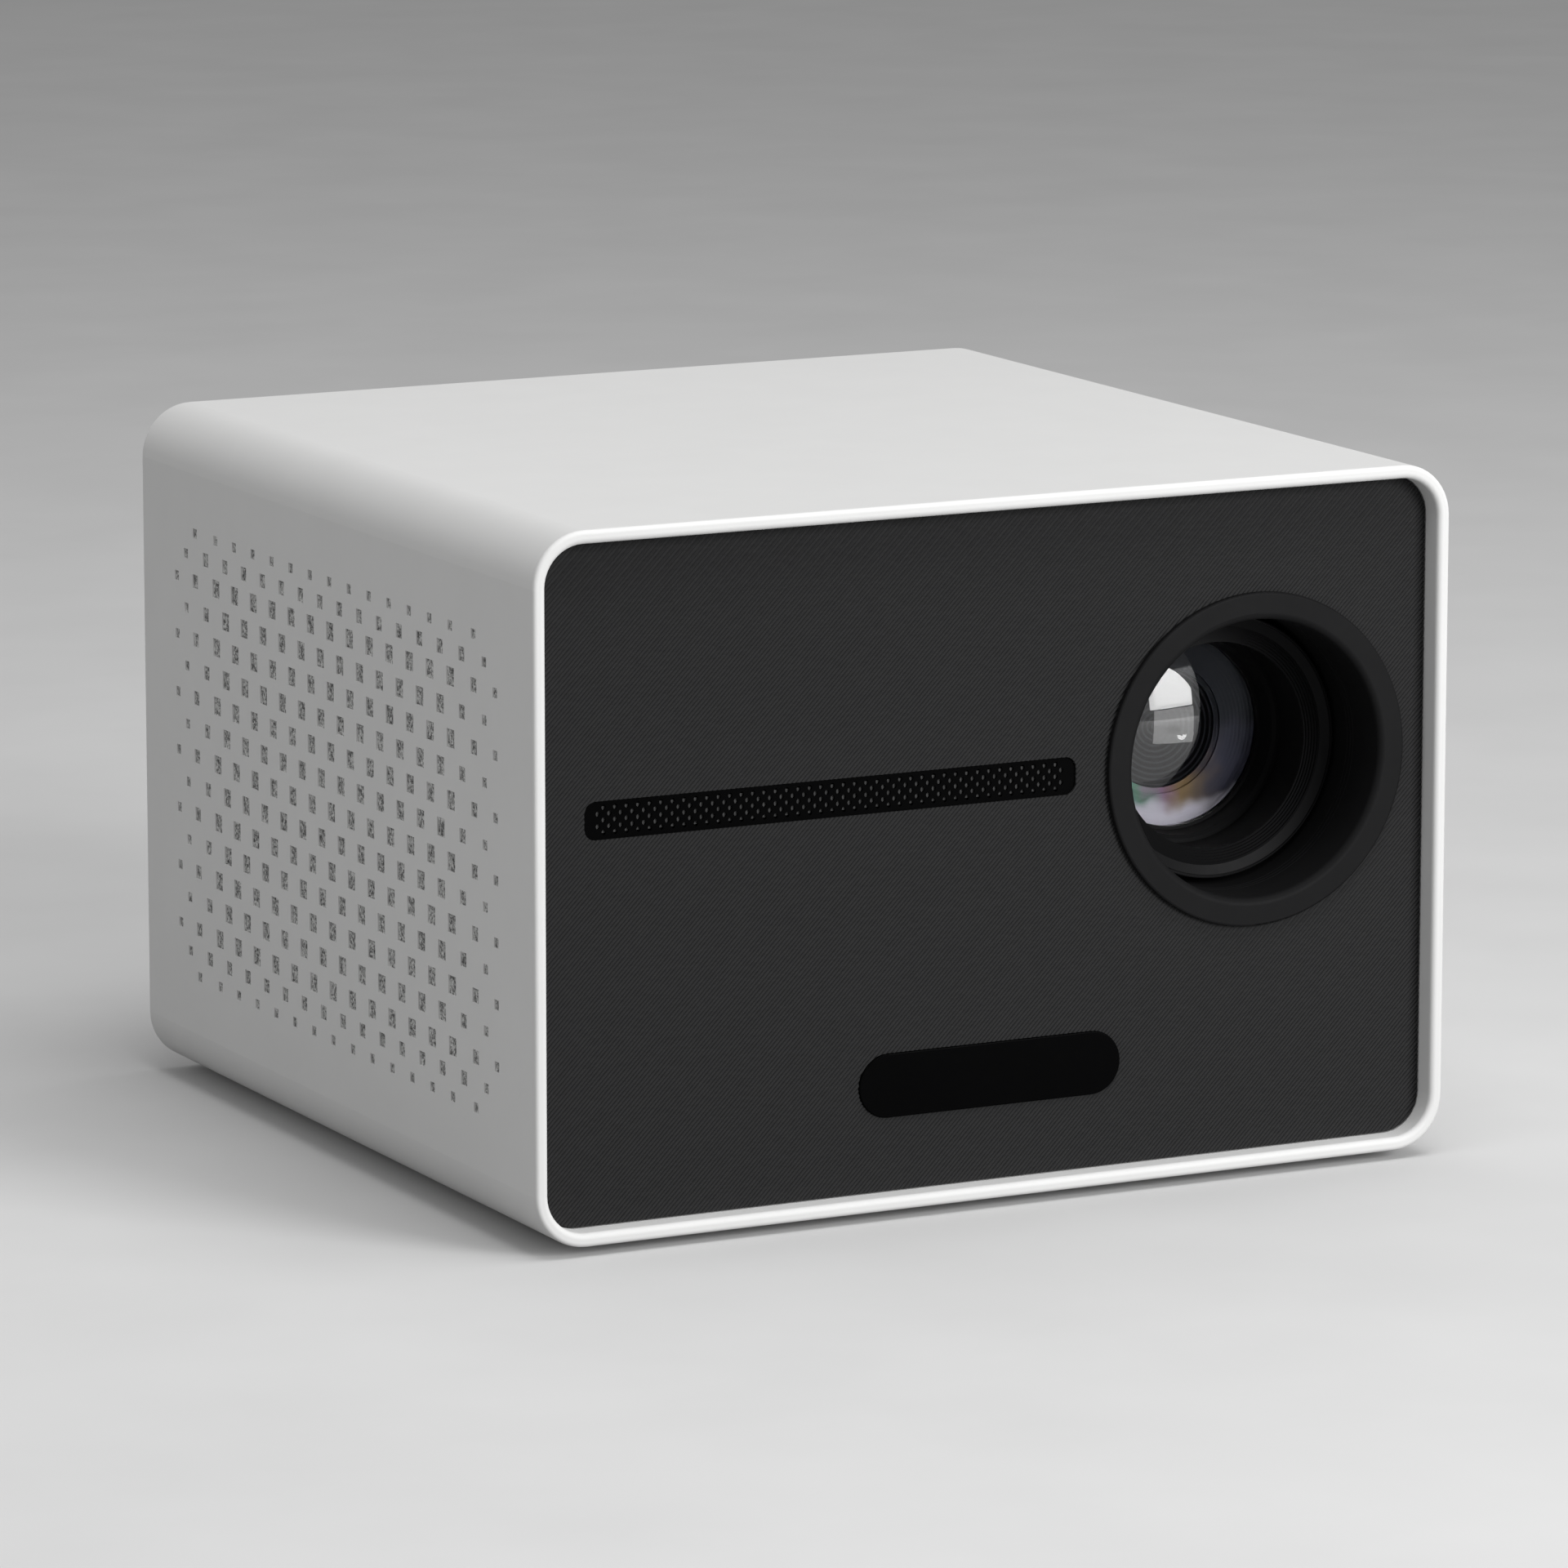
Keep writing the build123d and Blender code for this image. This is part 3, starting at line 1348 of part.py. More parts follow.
# Reflector cup between the light source and the condenser, seated on the rear wall
cup_seat_y = engine_back_y - engine_wall
cup_back_y = engine_back_y - led_chip_thickness - reflector_gap
with BuildPart() as reflector_cup:
    with BuildSketch(radial_plane(lens_x, lens_z)):
        with BuildLine():
            Polyline(
                (reflector_throat, cup_back_y),
                (reflector_throat + reflector_wall, cup_back_y),
                (reflector_throat + reflector_wall + reflector_flare, cup_seat_y),
                (rear_aperture_radius + reflector_rim, cup_seat_y),
                (rear_aperture_radius + reflector_rim, cup_seat_y - reflector_wall),
                (reflector_throat + reflector_wall + 2 * reflector_flare, cup_seat_y - reflector_wall),
                (reflector_mouth + reflector_wall, cup_back_y - reflector_length),
                (reflector_mouth, cup_back_y - reflector_length),
                close=True,
            )
        make_face()
    revolve(axis=optical_axis)
save(reflector_cup, "reflector_cup")

with BuildPart() as led_board:
    with BuildSketch(lens_plane(sink_y)):
        Rectangle(led_board_size, led_board_size)
    extrude(amount=led_board_thickness)
    with BuildSketch(lens_plane(engine_back_y)):
        Rectangle(led_chip_size, led_chip_size)
    extrude(amount=led_chip_thickness)
save(led_board, "led_board")

# Heat sink with upright fins, cut back round its screws
fin_length = fin_end_y - sink_y - sink_base
with BuildPart() as heat_sink:
    with BuildSketch(lens_plane(sink_y + sink_base)):
        Rectangle(sink_width, sink_height)
    extrude(amount=sink_base)
    with BuildSketch(lens_plane(fin_end_y)):
        with GridLocations((sink_width - fin_thickness) / (fin_count - 1), sink_height, fin_count, 1):
            Rectangle(fin_thickness, sink_height)
        with Locations(*sink_places):
            Circle(head_radius + head_gap, mode=Mode.SUBTRACT)
    extrude(amount=fin_length)
    with Locations(from_behind(lens_x, sink_y + sink_base, lens_z)):
        with Locations(*sink_places):
            Hole(clearance_radius, depth=sink_base)
save(heat_sink, "heat_sink")

heat_sink_screws = pan_screws(
    from_behind(lens_x, sink_y + sink_base, lens_z), sink_places,
    screw_radius, sink_base + led_board_thickness + engine_wall - screw_end_gap, head_radius, head_height,
)

# Exhaust fan
with BuildPart() as exhaust_fan_frame:
    with BuildSketch(lens_plane(rear_inner_y)):
        RectangleRounded(fan_size, fan_size, fan_corner)
        Circle(fan_bore_radius, mode=Mode.SUBTRACT)
        with Locations(*fan_places):
            Circle(pilot_radius, mode=Mode.SUBTRACT)
    extrude(amount=fan_depth)
    with BuildSketch(lens_plane(rear_inner_y)):
        Circle(fan_base_radius)
        with PolarLocations((fan_base_radius + fan_bore_radius) / 2, strut_count, start_angle=strut_turn):
            Rectangle(fan_bore_radius - fan_base_radius + 2 * cut_margin, strut_width)
    extrude(amount=fan_base_thickness)
    with BuildSketch(lens_plane(rear_inner_y - fan_base_thickness)):
        Circle(bearing_radius)
    extrude(amount=fan_depth - fan_base_thickness - rotor_gap - hub_face - bearing_gap)
    with BuildSketch(lens_plane(rear_inner_y - fan_base_thickness)):
        Circle(shaft_radius + slide_gap)
    extrude(amount=fan_depth, mode=Mode.SUBTRACT)
save(exhaust_fan_frame, "exhaust_fan_frame")

rotor_y = fan_y + rotor_gap
rotor_back_y = rear_inner_y - fan_base_thickness - rotor_gap
with BuildPart() as exhaust_fan_rotor:
    with Locations(lens_plane((rotor_y + rotor_back_y) / 2)):
        with PolarLocations(fan_hub_radius - fan_hub_wall, fan_blade_count):
            Box(
                fan_blade_radius, fan_blade_thickness, fan_blade_chord, rotation=(fan_blade_pitch, 0, 0),
                align=(Align.MIN, Align.CENTER, Align.CENTER),
            )
        Cylinder(fan_blade_radius, rotor_back_y - rotor_y, mode=Mode.INTERSECT)
    with BuildSketch(lens_plane(rotor_back_y)):
        Circle(fan_hub_radius)
    extrude(amount=rotor_back_y - rotor_y)
    with BuildSketch(lens_plane(rotor_back_y)):
        Circle(fan_hub_radius - fan_hub_wall)
    extrude(amount=rotor_back_y - rotor_y - hub_face, mode=Mode.SUBTRACT)
    with BuildSketch(lens_plane(rear_inner_y - fan_base_thickness - shaft_end_gap)):
        Circle(shaft_radius)
    extrude(amount=rear_inner_y - fan_base_thickness - shaft_end_gap - rotor_y - hub_face / 2)
    fillet(exhaust_fan_rotor.faces().sort_by(Axis.Y)[0].outer_wire().edges(), radius=hub_round)
save(exhaust_fan_rotor, "exhaust_fan_rotor")

# Blower that feeds air across the picture panel
blower_plane = Plane(origin=(blower_x, blower_y + blower_depth, blower_z), x_dir=(1, 0, 0), z_dir=(0, -1, 0))
outlet_centre = blower_bore_radius - window_height / 2
with BuildPart() as blower_housing:
    with BuildSketch(blower_plane):
        RectangleRounded(blower_size, blower_size, blower_corner)
    extrude(amount=blower_depth)
    with BuildSketch(blower_plane.offset(blower_wall)):
        Circle(blower_bore_radius)
        with Locations((blower_size / 4, outlet_centre)):
            Rectangle(blower_size / 2, window_height)
    extrude(amount=blower_depth - 2 * blower_wall, mode=Mode.SUBTRACT)
    with BuildSketch(blower_plane.offset(blower_depth)):
        Circle(blower_inlet_radius)
    extrude(amount=-blower_wall, mode=Mode.SUBTRACT)
    with BuildSketch(blower_plane.offset(blower_wall)):
        Circle(bearing_radius)
    extrude(amount=blower_depth - 2 * blower_wall - rotor_gap - blower_web - bearing_gap)
    with BuildSketch(blower_plane.offset(blower_wall)):
        Circle(shaft_radius + slide_gap)
    extrude(amount=blower_depth, mode=Mode.SUBTRACT)
save(blower_housing, "blower_housing")

wheel_depth = blower_depth - 2 * blower_wall - 2 * rotor_gap
wheel_back_plane = blower_plane.offset(blower_wall + rotor_gap)
with BuildPart() as blower_rotor:
    with BuildSketch(wheel_back_plane):
        Circle(blower_wheel_radius)
        Circle(bearing_radius + rotor_gap, mode=Mode.SUBTRACT)
    extrude(amount=blower_web)
    with BuildSketch(wheel_back_plane):
        with PolarLocations((blower_wheel_radius + blower_wheel_inner) / 2, blower_blade_count):
            Rectangle(
                blower_wheel_radius - blower_wheel_inner, blower_blade_thickness, rotation=blower_blade_turn,
            )
    extrude(amount=wheel_depth)
    with BuildSketch(wheel_back_plane):
        Circle(blower_hub_radius)
        Circle(bearing_radius + rotor_gap, mode=Mode.SUBTRACT)
    extrude(amount=wheel_depth)
    with BuildSketch(wheel_back_plane.offset(wheel_depth - blower_web)):
        Circle(blower_hub_radius)
    extrude(amount=blower_web)
    with BuildSketch(blower_plane.offset(blower_wall + shaft_end_gap)):
        Circle(shaft_radius)
    extrude(amount=wheel_depth)
save(blower_rotor, "blower_rotor")

# Base tray: carries the engine, the boards and the blower
tray_half_width = inner_width / 2 - inner_radius - seat_gap
blower_bottom_z = blower_z - blower_size / 2
with BuildPart() as base_tray:
    with BuildSketch(Plane.XY.offset(floor_z)):
        Rectangle(2 * tray_half_width, 2 * tray_half_length)
        with Locations((0, (rear_inner_y - tray_rear_gap) / 2)):
            Rectangle(2 * tray_rear_half_width, rear_inner_y - tray_rear_gap)
    extrude(amount=tray_thickness)
    with BuildSketch(Plane.XY.offset(tray_top_z)):
        with Locations(*foot_places):
            Circle(boss_radius)
        with Locations(*board_places, *psu_places):
            Circle(standoff_radius)
    extrude(amount=standoff_height)
    with BuildSketch(Plane.XY.offset(tray_top_z)):
        with Locations(*pillar_places):
            Circle(pillar_radius)
    extrude(amount=boss_bottom_z - tray_top_z)
    with BuildSketch(Plane.XY.offset(tray_top_z)):
        with Locations((blower_x, blower_y + blower_depth / 2)):
            Rectangle(blower_size / 2, blower_depth / 2)
    extrude(amount=blower_bottom_z - tray_top_z)
    with BuildSketch(Plane.XY.offset(tray_top_z)):
        with Locations((0, -insert_offset)):
            Circle(insert_boss_radius)
    extrude(amount=insert_length + insert_lift - tray_thickness + insert_end)
    with BuildSketch(Plane.XY.offset(floor_z)):
        with Locations(*foot_places):
            Circle(pilot_radius)
    extrude(amount=tray_thickness + standoff_height - blind_end, mode=Mode.SUBTRACT)
    with BuildSketch(Plane.XY.offset(tray_top_z + standoff_height)):
        with Locations(*board_places, *psu_places):
            Circle(small_pilot_radius)
    extrude(amount=-standoff_height, mode=Mode.SUBTRACT)
    with BuildSketch(Plane.XY.offset(floor_z)):
        with Locations(*pillar_places):
            Circle(head_radius + head_gap)
    extrude(amount=boss_bottom_z - floor_z - engine_screw_seat, mode=Mode.SUBTRACT)
    with BuildSketch(Plane.XY.offset(floor_z)):
        with Locations(*pillar_places):
            Circle(clearance_radius)
    extrude(amount=boss_bottom_z - floor_z, mode=Mode.SUBTRACT)
    with BuildSketch(Plane.XY.offset(floor_z)):
        with Locations((0, -insert_offset)):
            Circle(insert_radius + thread_gap)
    extrude(amount=insert_length + insert_lift, mode=Mode.SUBTRACT)
save(base_tray, "base_tray")

engine_screws = pan_screws(
    Plane(origin=(0, 0, boss_bottom_z - engine_screw_seat), x_dir=(1, 0, 0), z_dir=(0, 0, -1)),
    [(x, -y) for x, y in pillar_places],
    screw_radius, engine_screw_seat + engine_boss_height, head_radius, head_height,
)

# Feet, base screws and tripod insert
with BuildPart() as rubber_feet:
    with BuildSketch(Plane.XY):
        with Locations(*foot_places):
            Circle(foot_radius)
    extrude(amount=foot_height)
    fillet(rubber_feet.faces().filter_by(Axis.Z).group_by(Axis.Z)[0].edges(), radius=foot_round)
save(rubber_feet, "rubber_feet")

base_screws = flat_screws(
    Plane(origin=(0, 0, bottom_z), x_dir=(1, 0, 0), z_dir=(0, 0, -1)), foot_places, wall + base_screw_depth,
)

with BuildPart() as tripod_insert:
    with BuildSketch(Plane.XY.offset(floor_z + insert_lift)):
        with Locations((0, -insert_offset)):
            Circle(insert_radius)
            Circle(insert_thread_radius, mode=Mode.SUBTRACT)
    extrude(amount=insert_length - insert_end)
    with BuildSketch(Plane.XY.offset(floor_z + insert_lift + insert_length - insert_end)):
        with Locations((0, -insert_offset)):
            Circle(insert_radius)
    extrude(amount=insert_end)
save(tripod_insert, "tripod_insert")

front_panel_screws = pan_screws(
    from_behind(0, post_end_y + front_lug_thickness, mid_z), grid_places(corner_span_x, corner_span_z),
    screw_radius, front_lug_thickness + post_length - blind_end, head_radius, head_height,
)

# Main board and what stands on it
with BuildPart() as main_board:
    with BuildSketch(Plane.XY.offset(board_z)):
        with Locations((board_left + board_width / 2, board_back_y - board_length / 2)):
            RectangleRounded(board_width, board_length, board_corner)
        with Locations(*board_places):
            Circle(small_screw_radius + screw_clearance, mode=Mode.SUBTRACT)
    extrude(amount=board_thickness)
save(main_board, "main_board")

mouth_y = rear_y - mouth_recess
chip_y = board_back_y - board_length / 2
chip_x = board_left + chip_from_left
memory_x = chip_x + memory_offset
with BuildPart() as board_chips:
    with BuildSketch(Plane.XY.offset(board_top_z)):
        with Locations((chip_x, chip_y)):
            Rectangle(chip_size, chip_size)
        with Locations((memory_x, chip_y - memory_spacing / 2), (memory_x, chip_y + memory_spacing / 2)):
            Rectangle(*memory_size)
        with Locations((chip_x + power_chip_offset, chip_y)):
            Rectangle(power_chip_size, power_chip_size)
    extrude(amount=chip_height)
    with BuildSketch(Plane.XY.offset(board_top_z)):
        with Locations((lens_x - lead_offset - lead_spacing / 2, lead_end_y)):
            Rectangle(3 * lead_spacing, connector_depth)
    extrude(amount=connector_height)
save(board_chips, "board_chips")

# Sockets: an open shell with a contact tongue on its back wall
for socket_name, socket_xs, width, height, depth, tongue in (
    ("hdmi_sockets", hdmi_positions, hdmi_width, hdmi_height, hdmi_depth, (0.72, 0.15, 0.5)),
    ("usb_sockets", usb_positions, usb_width, usb_height, usb_depth, (0.8, 0.26, 0.68)),
):
    with BuildPart() as sockets:
        with BuildSketch(upright(mouth_y)):
            with Locations(*[(x, board_top_z + height / 2) for x in socket_xs]):
                RectangleRounded(width, height, socket_corner)
        extrude(amount=depth)
        with BuildSketch(upright(mouth_y)):
            with Locations(*[(x, board_top_z + height / 2) for x in socket_xs]):
                RectangleRounded(
                    width - 2 * socket_wall, height - 2 * socket_wall, socket_corner - socket_wall,
                )
        extrude(amount=depth - socket_back, mode=Mode.SUBTRACT)
        with BuildSketch(upright(mouth_y - tongue_recess)):
            with Locations(*[(x, board_top_z + height * tongue[2]) for x in socket_xs]):
                Rectangle(width * tongue[0], height * tongue[1])
        extrude(amount=depth - tongue_recess)
    save(sockets, socket_name)

jack_z = board_top_z + jack_width / 2
with BuildPart() as audio_jack:
    with BuildSketch(upright(rear_inner_y - seat_gap)):
        with Locations((jack_position, jack_z)):
            Rectangle(jack_width, jack_width)
    extrude(amount=jack_depth)
    with BuildSketch(upright(rear_inner_y - seat_gap + jack_nose_length)):
        with Locations((jack_position, jack_z)):
            Circle(jack_nose_radius)
    extrude(amount=jack_nose_length)
    with BuildSketch(upright(rear_inner_y - seat_gap + jack_nose_length)):
        with Locations((jack_position, jack_z)):
            Circle(jack_bore_radius)
    extrude(amount=jack_bore_length, mode=Mode.SUBTRACT)
save(audio_jack, "audio_jack")

board_screws = pan_screws(
    Plane.XY.offset(board_top_z), board_places + psu_places,
    small_screw_radius, board_thickness + standoff_height - screw_end_gap,
    small_head_radius, small_head_height,
)

# Power supply board and its large parts
psu_mid_x = psu_left + psu_width / 2
with BuildPart() as psu_board:
    with BuildSketch(Plane.XY.offset(psu_z)):
        with Locations((psu_mid_x, psu_front + psu_length / 2)):
            Rectangle(psu_width, psu_length)
        with Locations(*psu_places):
            Circle(small_screw_radius + screw_clearance, mode=Mode.SUBTRACT)
    extrude(amount=board_thickness)
save(psu_board, "psu_board")

with BuildPart() as psu_parts:
    for size, from_front in ((transformer_size, transformer_from_front), (filter_size, filter_from_front)):
        with BuildSketch(Plane.XY.offset(psu_top_z)):
            with Locations((psu_mid_x, psu_front + from_front)):
                Rectangle(size[0], size[1])
        extrude(amount=size[2])
    output_y = psu_front + output_from_front
    with BuildSketch(Plane.XY.offset(psu_top_z)):
        with Locations((psu_mid_x, psu_front + bulk_from_front)):
            Circle(bulk_radius)
        with Locations(
            (psu_mid_x - output_spacing / 2, output_y),
            (psu_mid_x + output_spacing / 2, output_y),
        ):
            Circle(output_radius)
    extrude(amount=bulk_height)
save(psu_parts, "psu_parts")

# Mains inlet: a figure-eight socket with two pins, snapped into the rear panel
inlet_pin_places = [
    (inlet_x - inlet_pin_spacing / 2, inlet_z),
    (inlet_x + inlet_pin_spacing / 2, inlet_z),
]
with BuildPart() as ac_inlet:
    with BuildSketch(upright(rear_inner_y - seat_gap)):
        with Locations((inlet_x, inlet_z)):
            Rectangle(inlet_width + 2 * inlet_snap, inlet_height + inlet_snap)
    extrude(amount=inlet_flange)
    with BuildSketch(upright(rear_y)):
        with Locations((inlet_x, inlet_z)):
            RectangleRounded(inlet_width, inlet_height, inlet_corner)
    extrude(amount=inlet_body_depth)
    with BuildSketch(upright(rear_y)):
        with Locations((inlet_x, inlet_z)):
            SlotOverall(inlet_hollow_width, inlet_hollow_height)
    extrude(amount=inlet_hollow_depth, mode=Mode.SUBTRACT)
    with BuildSketch(upright(rear_y)):
        with Locations(*inlet_pin_places):
            Circle(inlet_pin_radius + thread_gap)
    extrude(amount=inlet_body_depth, mode=Mode.SUBTRACT)
save(ac_inlet, "ac_inlet")

inlet_pin_back_y = rear_y - inlet_body_depth - inlet_pin_tail
with BuildPart() as inlet_pins:
    with BuildSketch(upright(rear_y - inlet_hollow_depth + inlet_pin_length)):
        with Locations(*inlet_pin_places):
            Circle(inlet_pin_radius)
    extrude(amount=rear_y - inlet_hollow_depth + inlet_pin_length - inlet_pin_back_y)
    fillet(inlet_pins.faces().filter_by(Axis.Y).group_by(Axis.Y)[-1].edges(), radius=inlet_pin_round)
save(inlet_pins, "inlet_pins")

# Rear panel: fan vent, ports, inlet, button hole and posts for the button's board
button_flange_y = rear_inner_y - button_gap
stem_end_y = button_flange_y - button_flange_thickness - button_stem_length
plunger_y = stem_end_y - plunger_gap
switch_face_y = plunger_y - plunger_proud
switch_post_end_y = switch_face_y - switch_height
switch_board_y = switch_post_end_y - switch_board_thickness
switch_places = [(button_x + side * switch_post_spacing / 2, button_z) for side in (-1, 1)]
with BuildPart() as rear_panel:
    with BuildSketch(upright(rear_y)):
        with Locations((0, mid_z)):
            RectangleRounded(inner_width - 2 * seat_gap, inner_height - 2 * seat_gap, inner_radius - seat_gap)
        vent_reach = int(fan_vent_radius / fan_vent_step)
        for column in range(-vent_reach, vent_reach + 1):
            for row in range(-vent_reach, vent_reach + 1):
                distance = fan_vent_step * math.hypot(column, row)
                if (column + row) % 2 or distance > fan_vent_radius:
                    continue
                with Locations((lens_x + column * fan_vent_step, lens_z + row * fan_vent_step)):
                    Rectangle(fan_vent_hole, fan_vent_hole, mode=Mode.SUBTRACT)
        with Locations(*[(x, board_top_z + hdmi_height / 2) for x in hdmi_positions]):
            RectangleRounded(
                hdmi_width + 2 * port_gap, hdmi_height + 2 * port_gap, port_corner, mode=Mode.SUBTRACT,
            )
        with Locations(*[(x, board_top_z + usb_height / 2) for x in usb_positions]):
            RectangleRounded(
                usb_width + 2 * port_gap, usb_height + 2 * port_gap, port_corner, mode=Mode.SUBTRACT,
            )
        with Locations((jack_position, jack_z)):
            Circle(jack_nose_radius + port_gap, mode=Mode.SUBTRACT)
        with Locations((inlet_x, inlet_z)):
            RectangleRounded(
                inlet_width + 2 * seat_gap, inlet_height + 2 * seat_gap, inlet_corner + seat_gap,
                mode=Mode.SUBTRACT,
            )
        with Locations((button_x, button_z)):
            Circle(button_radius + button_gap, mode=Mode.SUBTRACT)
    extrude(amount=rear_thickness)
    with BuildSketch(upright(rear_inner_y)):
        with Locations(*switch_places):
            Circle(switch_post_radius)
    extrude(amount=rear_inner_y - switch_post_end_y)
    with BuildSketch(upright(rear_inner_y)):
        with Locations(*switch_places):
            Circle(small_pilot_radius)
    extrude(amount=rear_inner_y - switch_post_end_y, mode=Mode.SUBTRACT)
    with Locations(from_behind(0, rear_y, mid_z)):
        with Locations(*grid_places(corner_span_x, corner_span_z)):
            CounterSinkHole(clearance_radius, countersink_radius, rear_thickness, counter_sink_angle=90)
    with Locations(from_behind(lens_x, rear_y, lens_z)):
        with Locations(*fan_places):
            CounterSinkHole(clearance_radius, countersink_radius, rear_thickness, counter_sink_angle=90)
save(rear_panel, "rear_panel")

rear_panel_screws = flat_screws(
    from_behind(0, rear_y, mid_z), grid_places(corner_span_x, corner_span_z),
    rear_thickness + rear_screw_depth,
)
fan_screws = flat_screws(from_behind(lens_x, rear_y, lens_z), fan_places, rear_thickness + fan_screw_depth)

# Power button, the plunger of its switch and the switch on its small board
button_plane = Plane(origin=(button_x, 0, button_z), x_dir=(1, 0, 0), z_dir=(0, -1, 0))
with BuildPart() as power_button:
    with BuildSketch(button_plane.offset(-rear_y - button_proud)):
        Circle(button_radius)
    extrude(amount=rear_y + button_proud - button_flange_y)
    fillet(power_button.faces().sort_by(Axis.Y)[-1].edges(), radius=button_proud / 2)
    with BuildSketch(button_plane.offset(-button_flange_y)):
        Circle(button_radius + button_flange)
    extrude(amount=button_flange_thickness)
    with BuildSketch(button_plane.offset(-button_flange_y + button_flange_thickness)):
        Circle(button_stem_radius)
    extrude(amount=button_stem_length)
save(power_button, "power_button")

with BuildPart() as switch_plunger:
    with BuildSketch(button_plane.offset(-plunger_y)):
        Circle(plunger_radius)
    extrude(amount=plunger_length)
save(switch_plunger, "switch_plunger")

with BuildPart() as button_switch:
    with BuildSketch(button_plane.offset(-switch_post_end_y)):
        RectangleRounded(switch_board_width, switch_board_height, board_corner)
        with Locations((-switch_post_spacing / 2, 0), (switch_post_spacing / 2, 0)):
            Circle(small_screw_radius + screw_clearance, mode=Mode.SUBTRACT)
    extrude(amount=switch_board_thickness)
    with BuildSketch(button_plane.offset(-switch_face_y)):
        Rectangle(switch_size, switch_size)
    extrude(amount=switch_height)
    with BuildSketch(button_plane.offset(-switch_face_y)):
        Circle(plunger_radius + 2 * slide_gap)
    extrude(amount=switch_bore_depth, mode=Mode.SUBTRACT)
save(button_switch, "button_switch")

button_board_screws = pan_screws(
    Plane(origin=(0, switch_board_y, 0), x_dir=(1, 0, 0), z_dir=(0, -1, 0)), switch_places,
    small_screw_radius, switch_board_thickness + switch_screw_depth, small_head_radius, small_head_height,
)

# Dust screens behind the side vents
screen_length = 2 * ((vent_columns + vent_column_spread[0]) * vent_step_y + screen_margin)
screen_height = 2 * (vent_rows * vent_step_z + screen_margin)
with BuildPart() as side_dust_screens:
    for screen_x in (-inner_width / 2, inner_width / 2 - screen_thickness):
        with BuildSketch(Plane(origin=(screen_x, 0, mid_z), x_dir=(0, 1, 0), z_dir=(1, 0, 0))):
            RectangleRounded(screen_length, screen_height, screen_corner)
        extrude(amount=screen_thickness)
save(side_dust_screens, "side_dust_screens")

# Speaker box behind the slot, with two round drivers
box_y = speaker_box_y + speaker_box_depth
box_plane = Plane(origin=(slot_x, box_y, slot_z), x_dir=(1, 0, 0), z_dir=(0, -1, 0))
driver_places = [(-speaker_spread, 0), (speaker_spread, 0)]
with BuildPart() as speaker_box:
    with BuildSketch(box_plane):
        RectangleRounded(speaker_box_length, speaker_box_height, speaker_box_corner)
    extrude(amount=speaker_box_depth)
    with BuildSketch(box_plane.offset(speaker_box_depth - ear_thickness)):
        with Locations(*grid_places(ear_spacing_x, ear_spacing_z - seat_gap)):
            Rectangle(ear_width, ear_height + seat_gap)
    extrude(amount=ear_thickness)
    with BuildSketch(box_plane.offset(speaker_box_wall)):
        Rectangle(speaker_box_length - 2 * speaker_box_wall, speaker_box_height - 2 * speaker_box_wall)
    extrude(amount=speaker_box_depth - 2 * speaker_box_wall, mode=Mode.SUBTRACT)
    with BuildSketch(box_plane.offset(speaker_box_depth)):
        with Locations(*driver_places):
            Circle(speaker_cut_radius + seat_gap)
        with Locations(*grid_places(ear_spacing_x, ear_spacing_z)):
            Circle(clearance_radius)
    extrude(amount=-ear_thickness, mode=Mode.SUBTRACT)
save(speaker_box, "speaker_box")

speaker_screws = pan_screws(
    from_behind(slot_x, speaker_box_y + ear_thickness, slot_z), grid_places(ear_spacing_x, ear_spacing_z),
    screw_radius, ear_thickness + speaker_box_gap - screw_end_gap, head_radius, head_height,
)

speaker_xs = [slot_x + place[0] for place in driver_places]
magnet_y = speaker_box_y + basket_length
with BuildPart() as speaker_frames:
    for speaker_x in speaker_xs:
        with BuildSketch(radial_plane(speaker_x, slot_z)):
            with BuildLine():
                Polyline(
                    (speaker_radius, speaker_box_y),
                    (speaker_radius, speaker_box_y - speaker_flange),
                    (speaker_cut_radius - basket_wall, speaker_box_y - speaker_flange),
                    (speaker_cut_radius - basket_wall, speaker_box_y + basket_step),
                    (magnet_radius - basket_wall, magnet_y - basket_wall),
                    (pole_radius, magnet_y - basket_wall),
                    (pole_radius, magnet_y),
                    (magnet_radius, magnet_y),
                    (speaker_cut_radius, speaker_box_y + basket_step),
                    (speaker_cut_radius, speaker_box_y),
                    close=True,
                )
            make_face()
        revolve(axis=Axis((speaker_x, 0, slot_z), (0, 1, 0)))
save(speaker_frames, "speaker_frames")

cone_rim_radius = speaker_cut_radius - basket_wall - thread_gap
cone_front_y = speaker_box_y - speaker_flange + cone_recess
cone_inner_y = magnet_y - cone_pole_gap
with BuildPart() as speaker_cones:
    for speaker_x in speaker_xs:
        with BuildSketch(radial_plane(speaker_x, slot_z)):
            with BuildLine():
                Polyline(
                    (cone_rim_radius, cone_front_y),
                    (cone_rim_radius - surround_width, cone_front_y),
                    (pole_radius, cone_inner_y - cone_thickness),
                    (0, cone_inner_y - cone_thickness - dome_rise),
                    (0, cone_inner_y - dome_rise),
                    (pole_radius, cone_inner_y),
                    (cone_rim_radius - surround_width, cone_front_y + cone_thickness),
                    (cone_rim_radius, cone_front_y + cone_thickness),
                    close=True,
                )
            make_face()
        revolve(axis=Axis((speaker_x, 0, slot_z), (0, 1, 0)))
save(speaker_cones, "speaker_cones")

with BuildPart() as speaker_magnets:
    with BuildSketch(upright(magnet_y + magnet_length)):
        with Locations(*[(x, slot_z) for x in speaker_xs]):
            Circle(magnet_radius)
    extrude(amount=magnet_length)
save(speaker_magnets, "speaker_magnets")

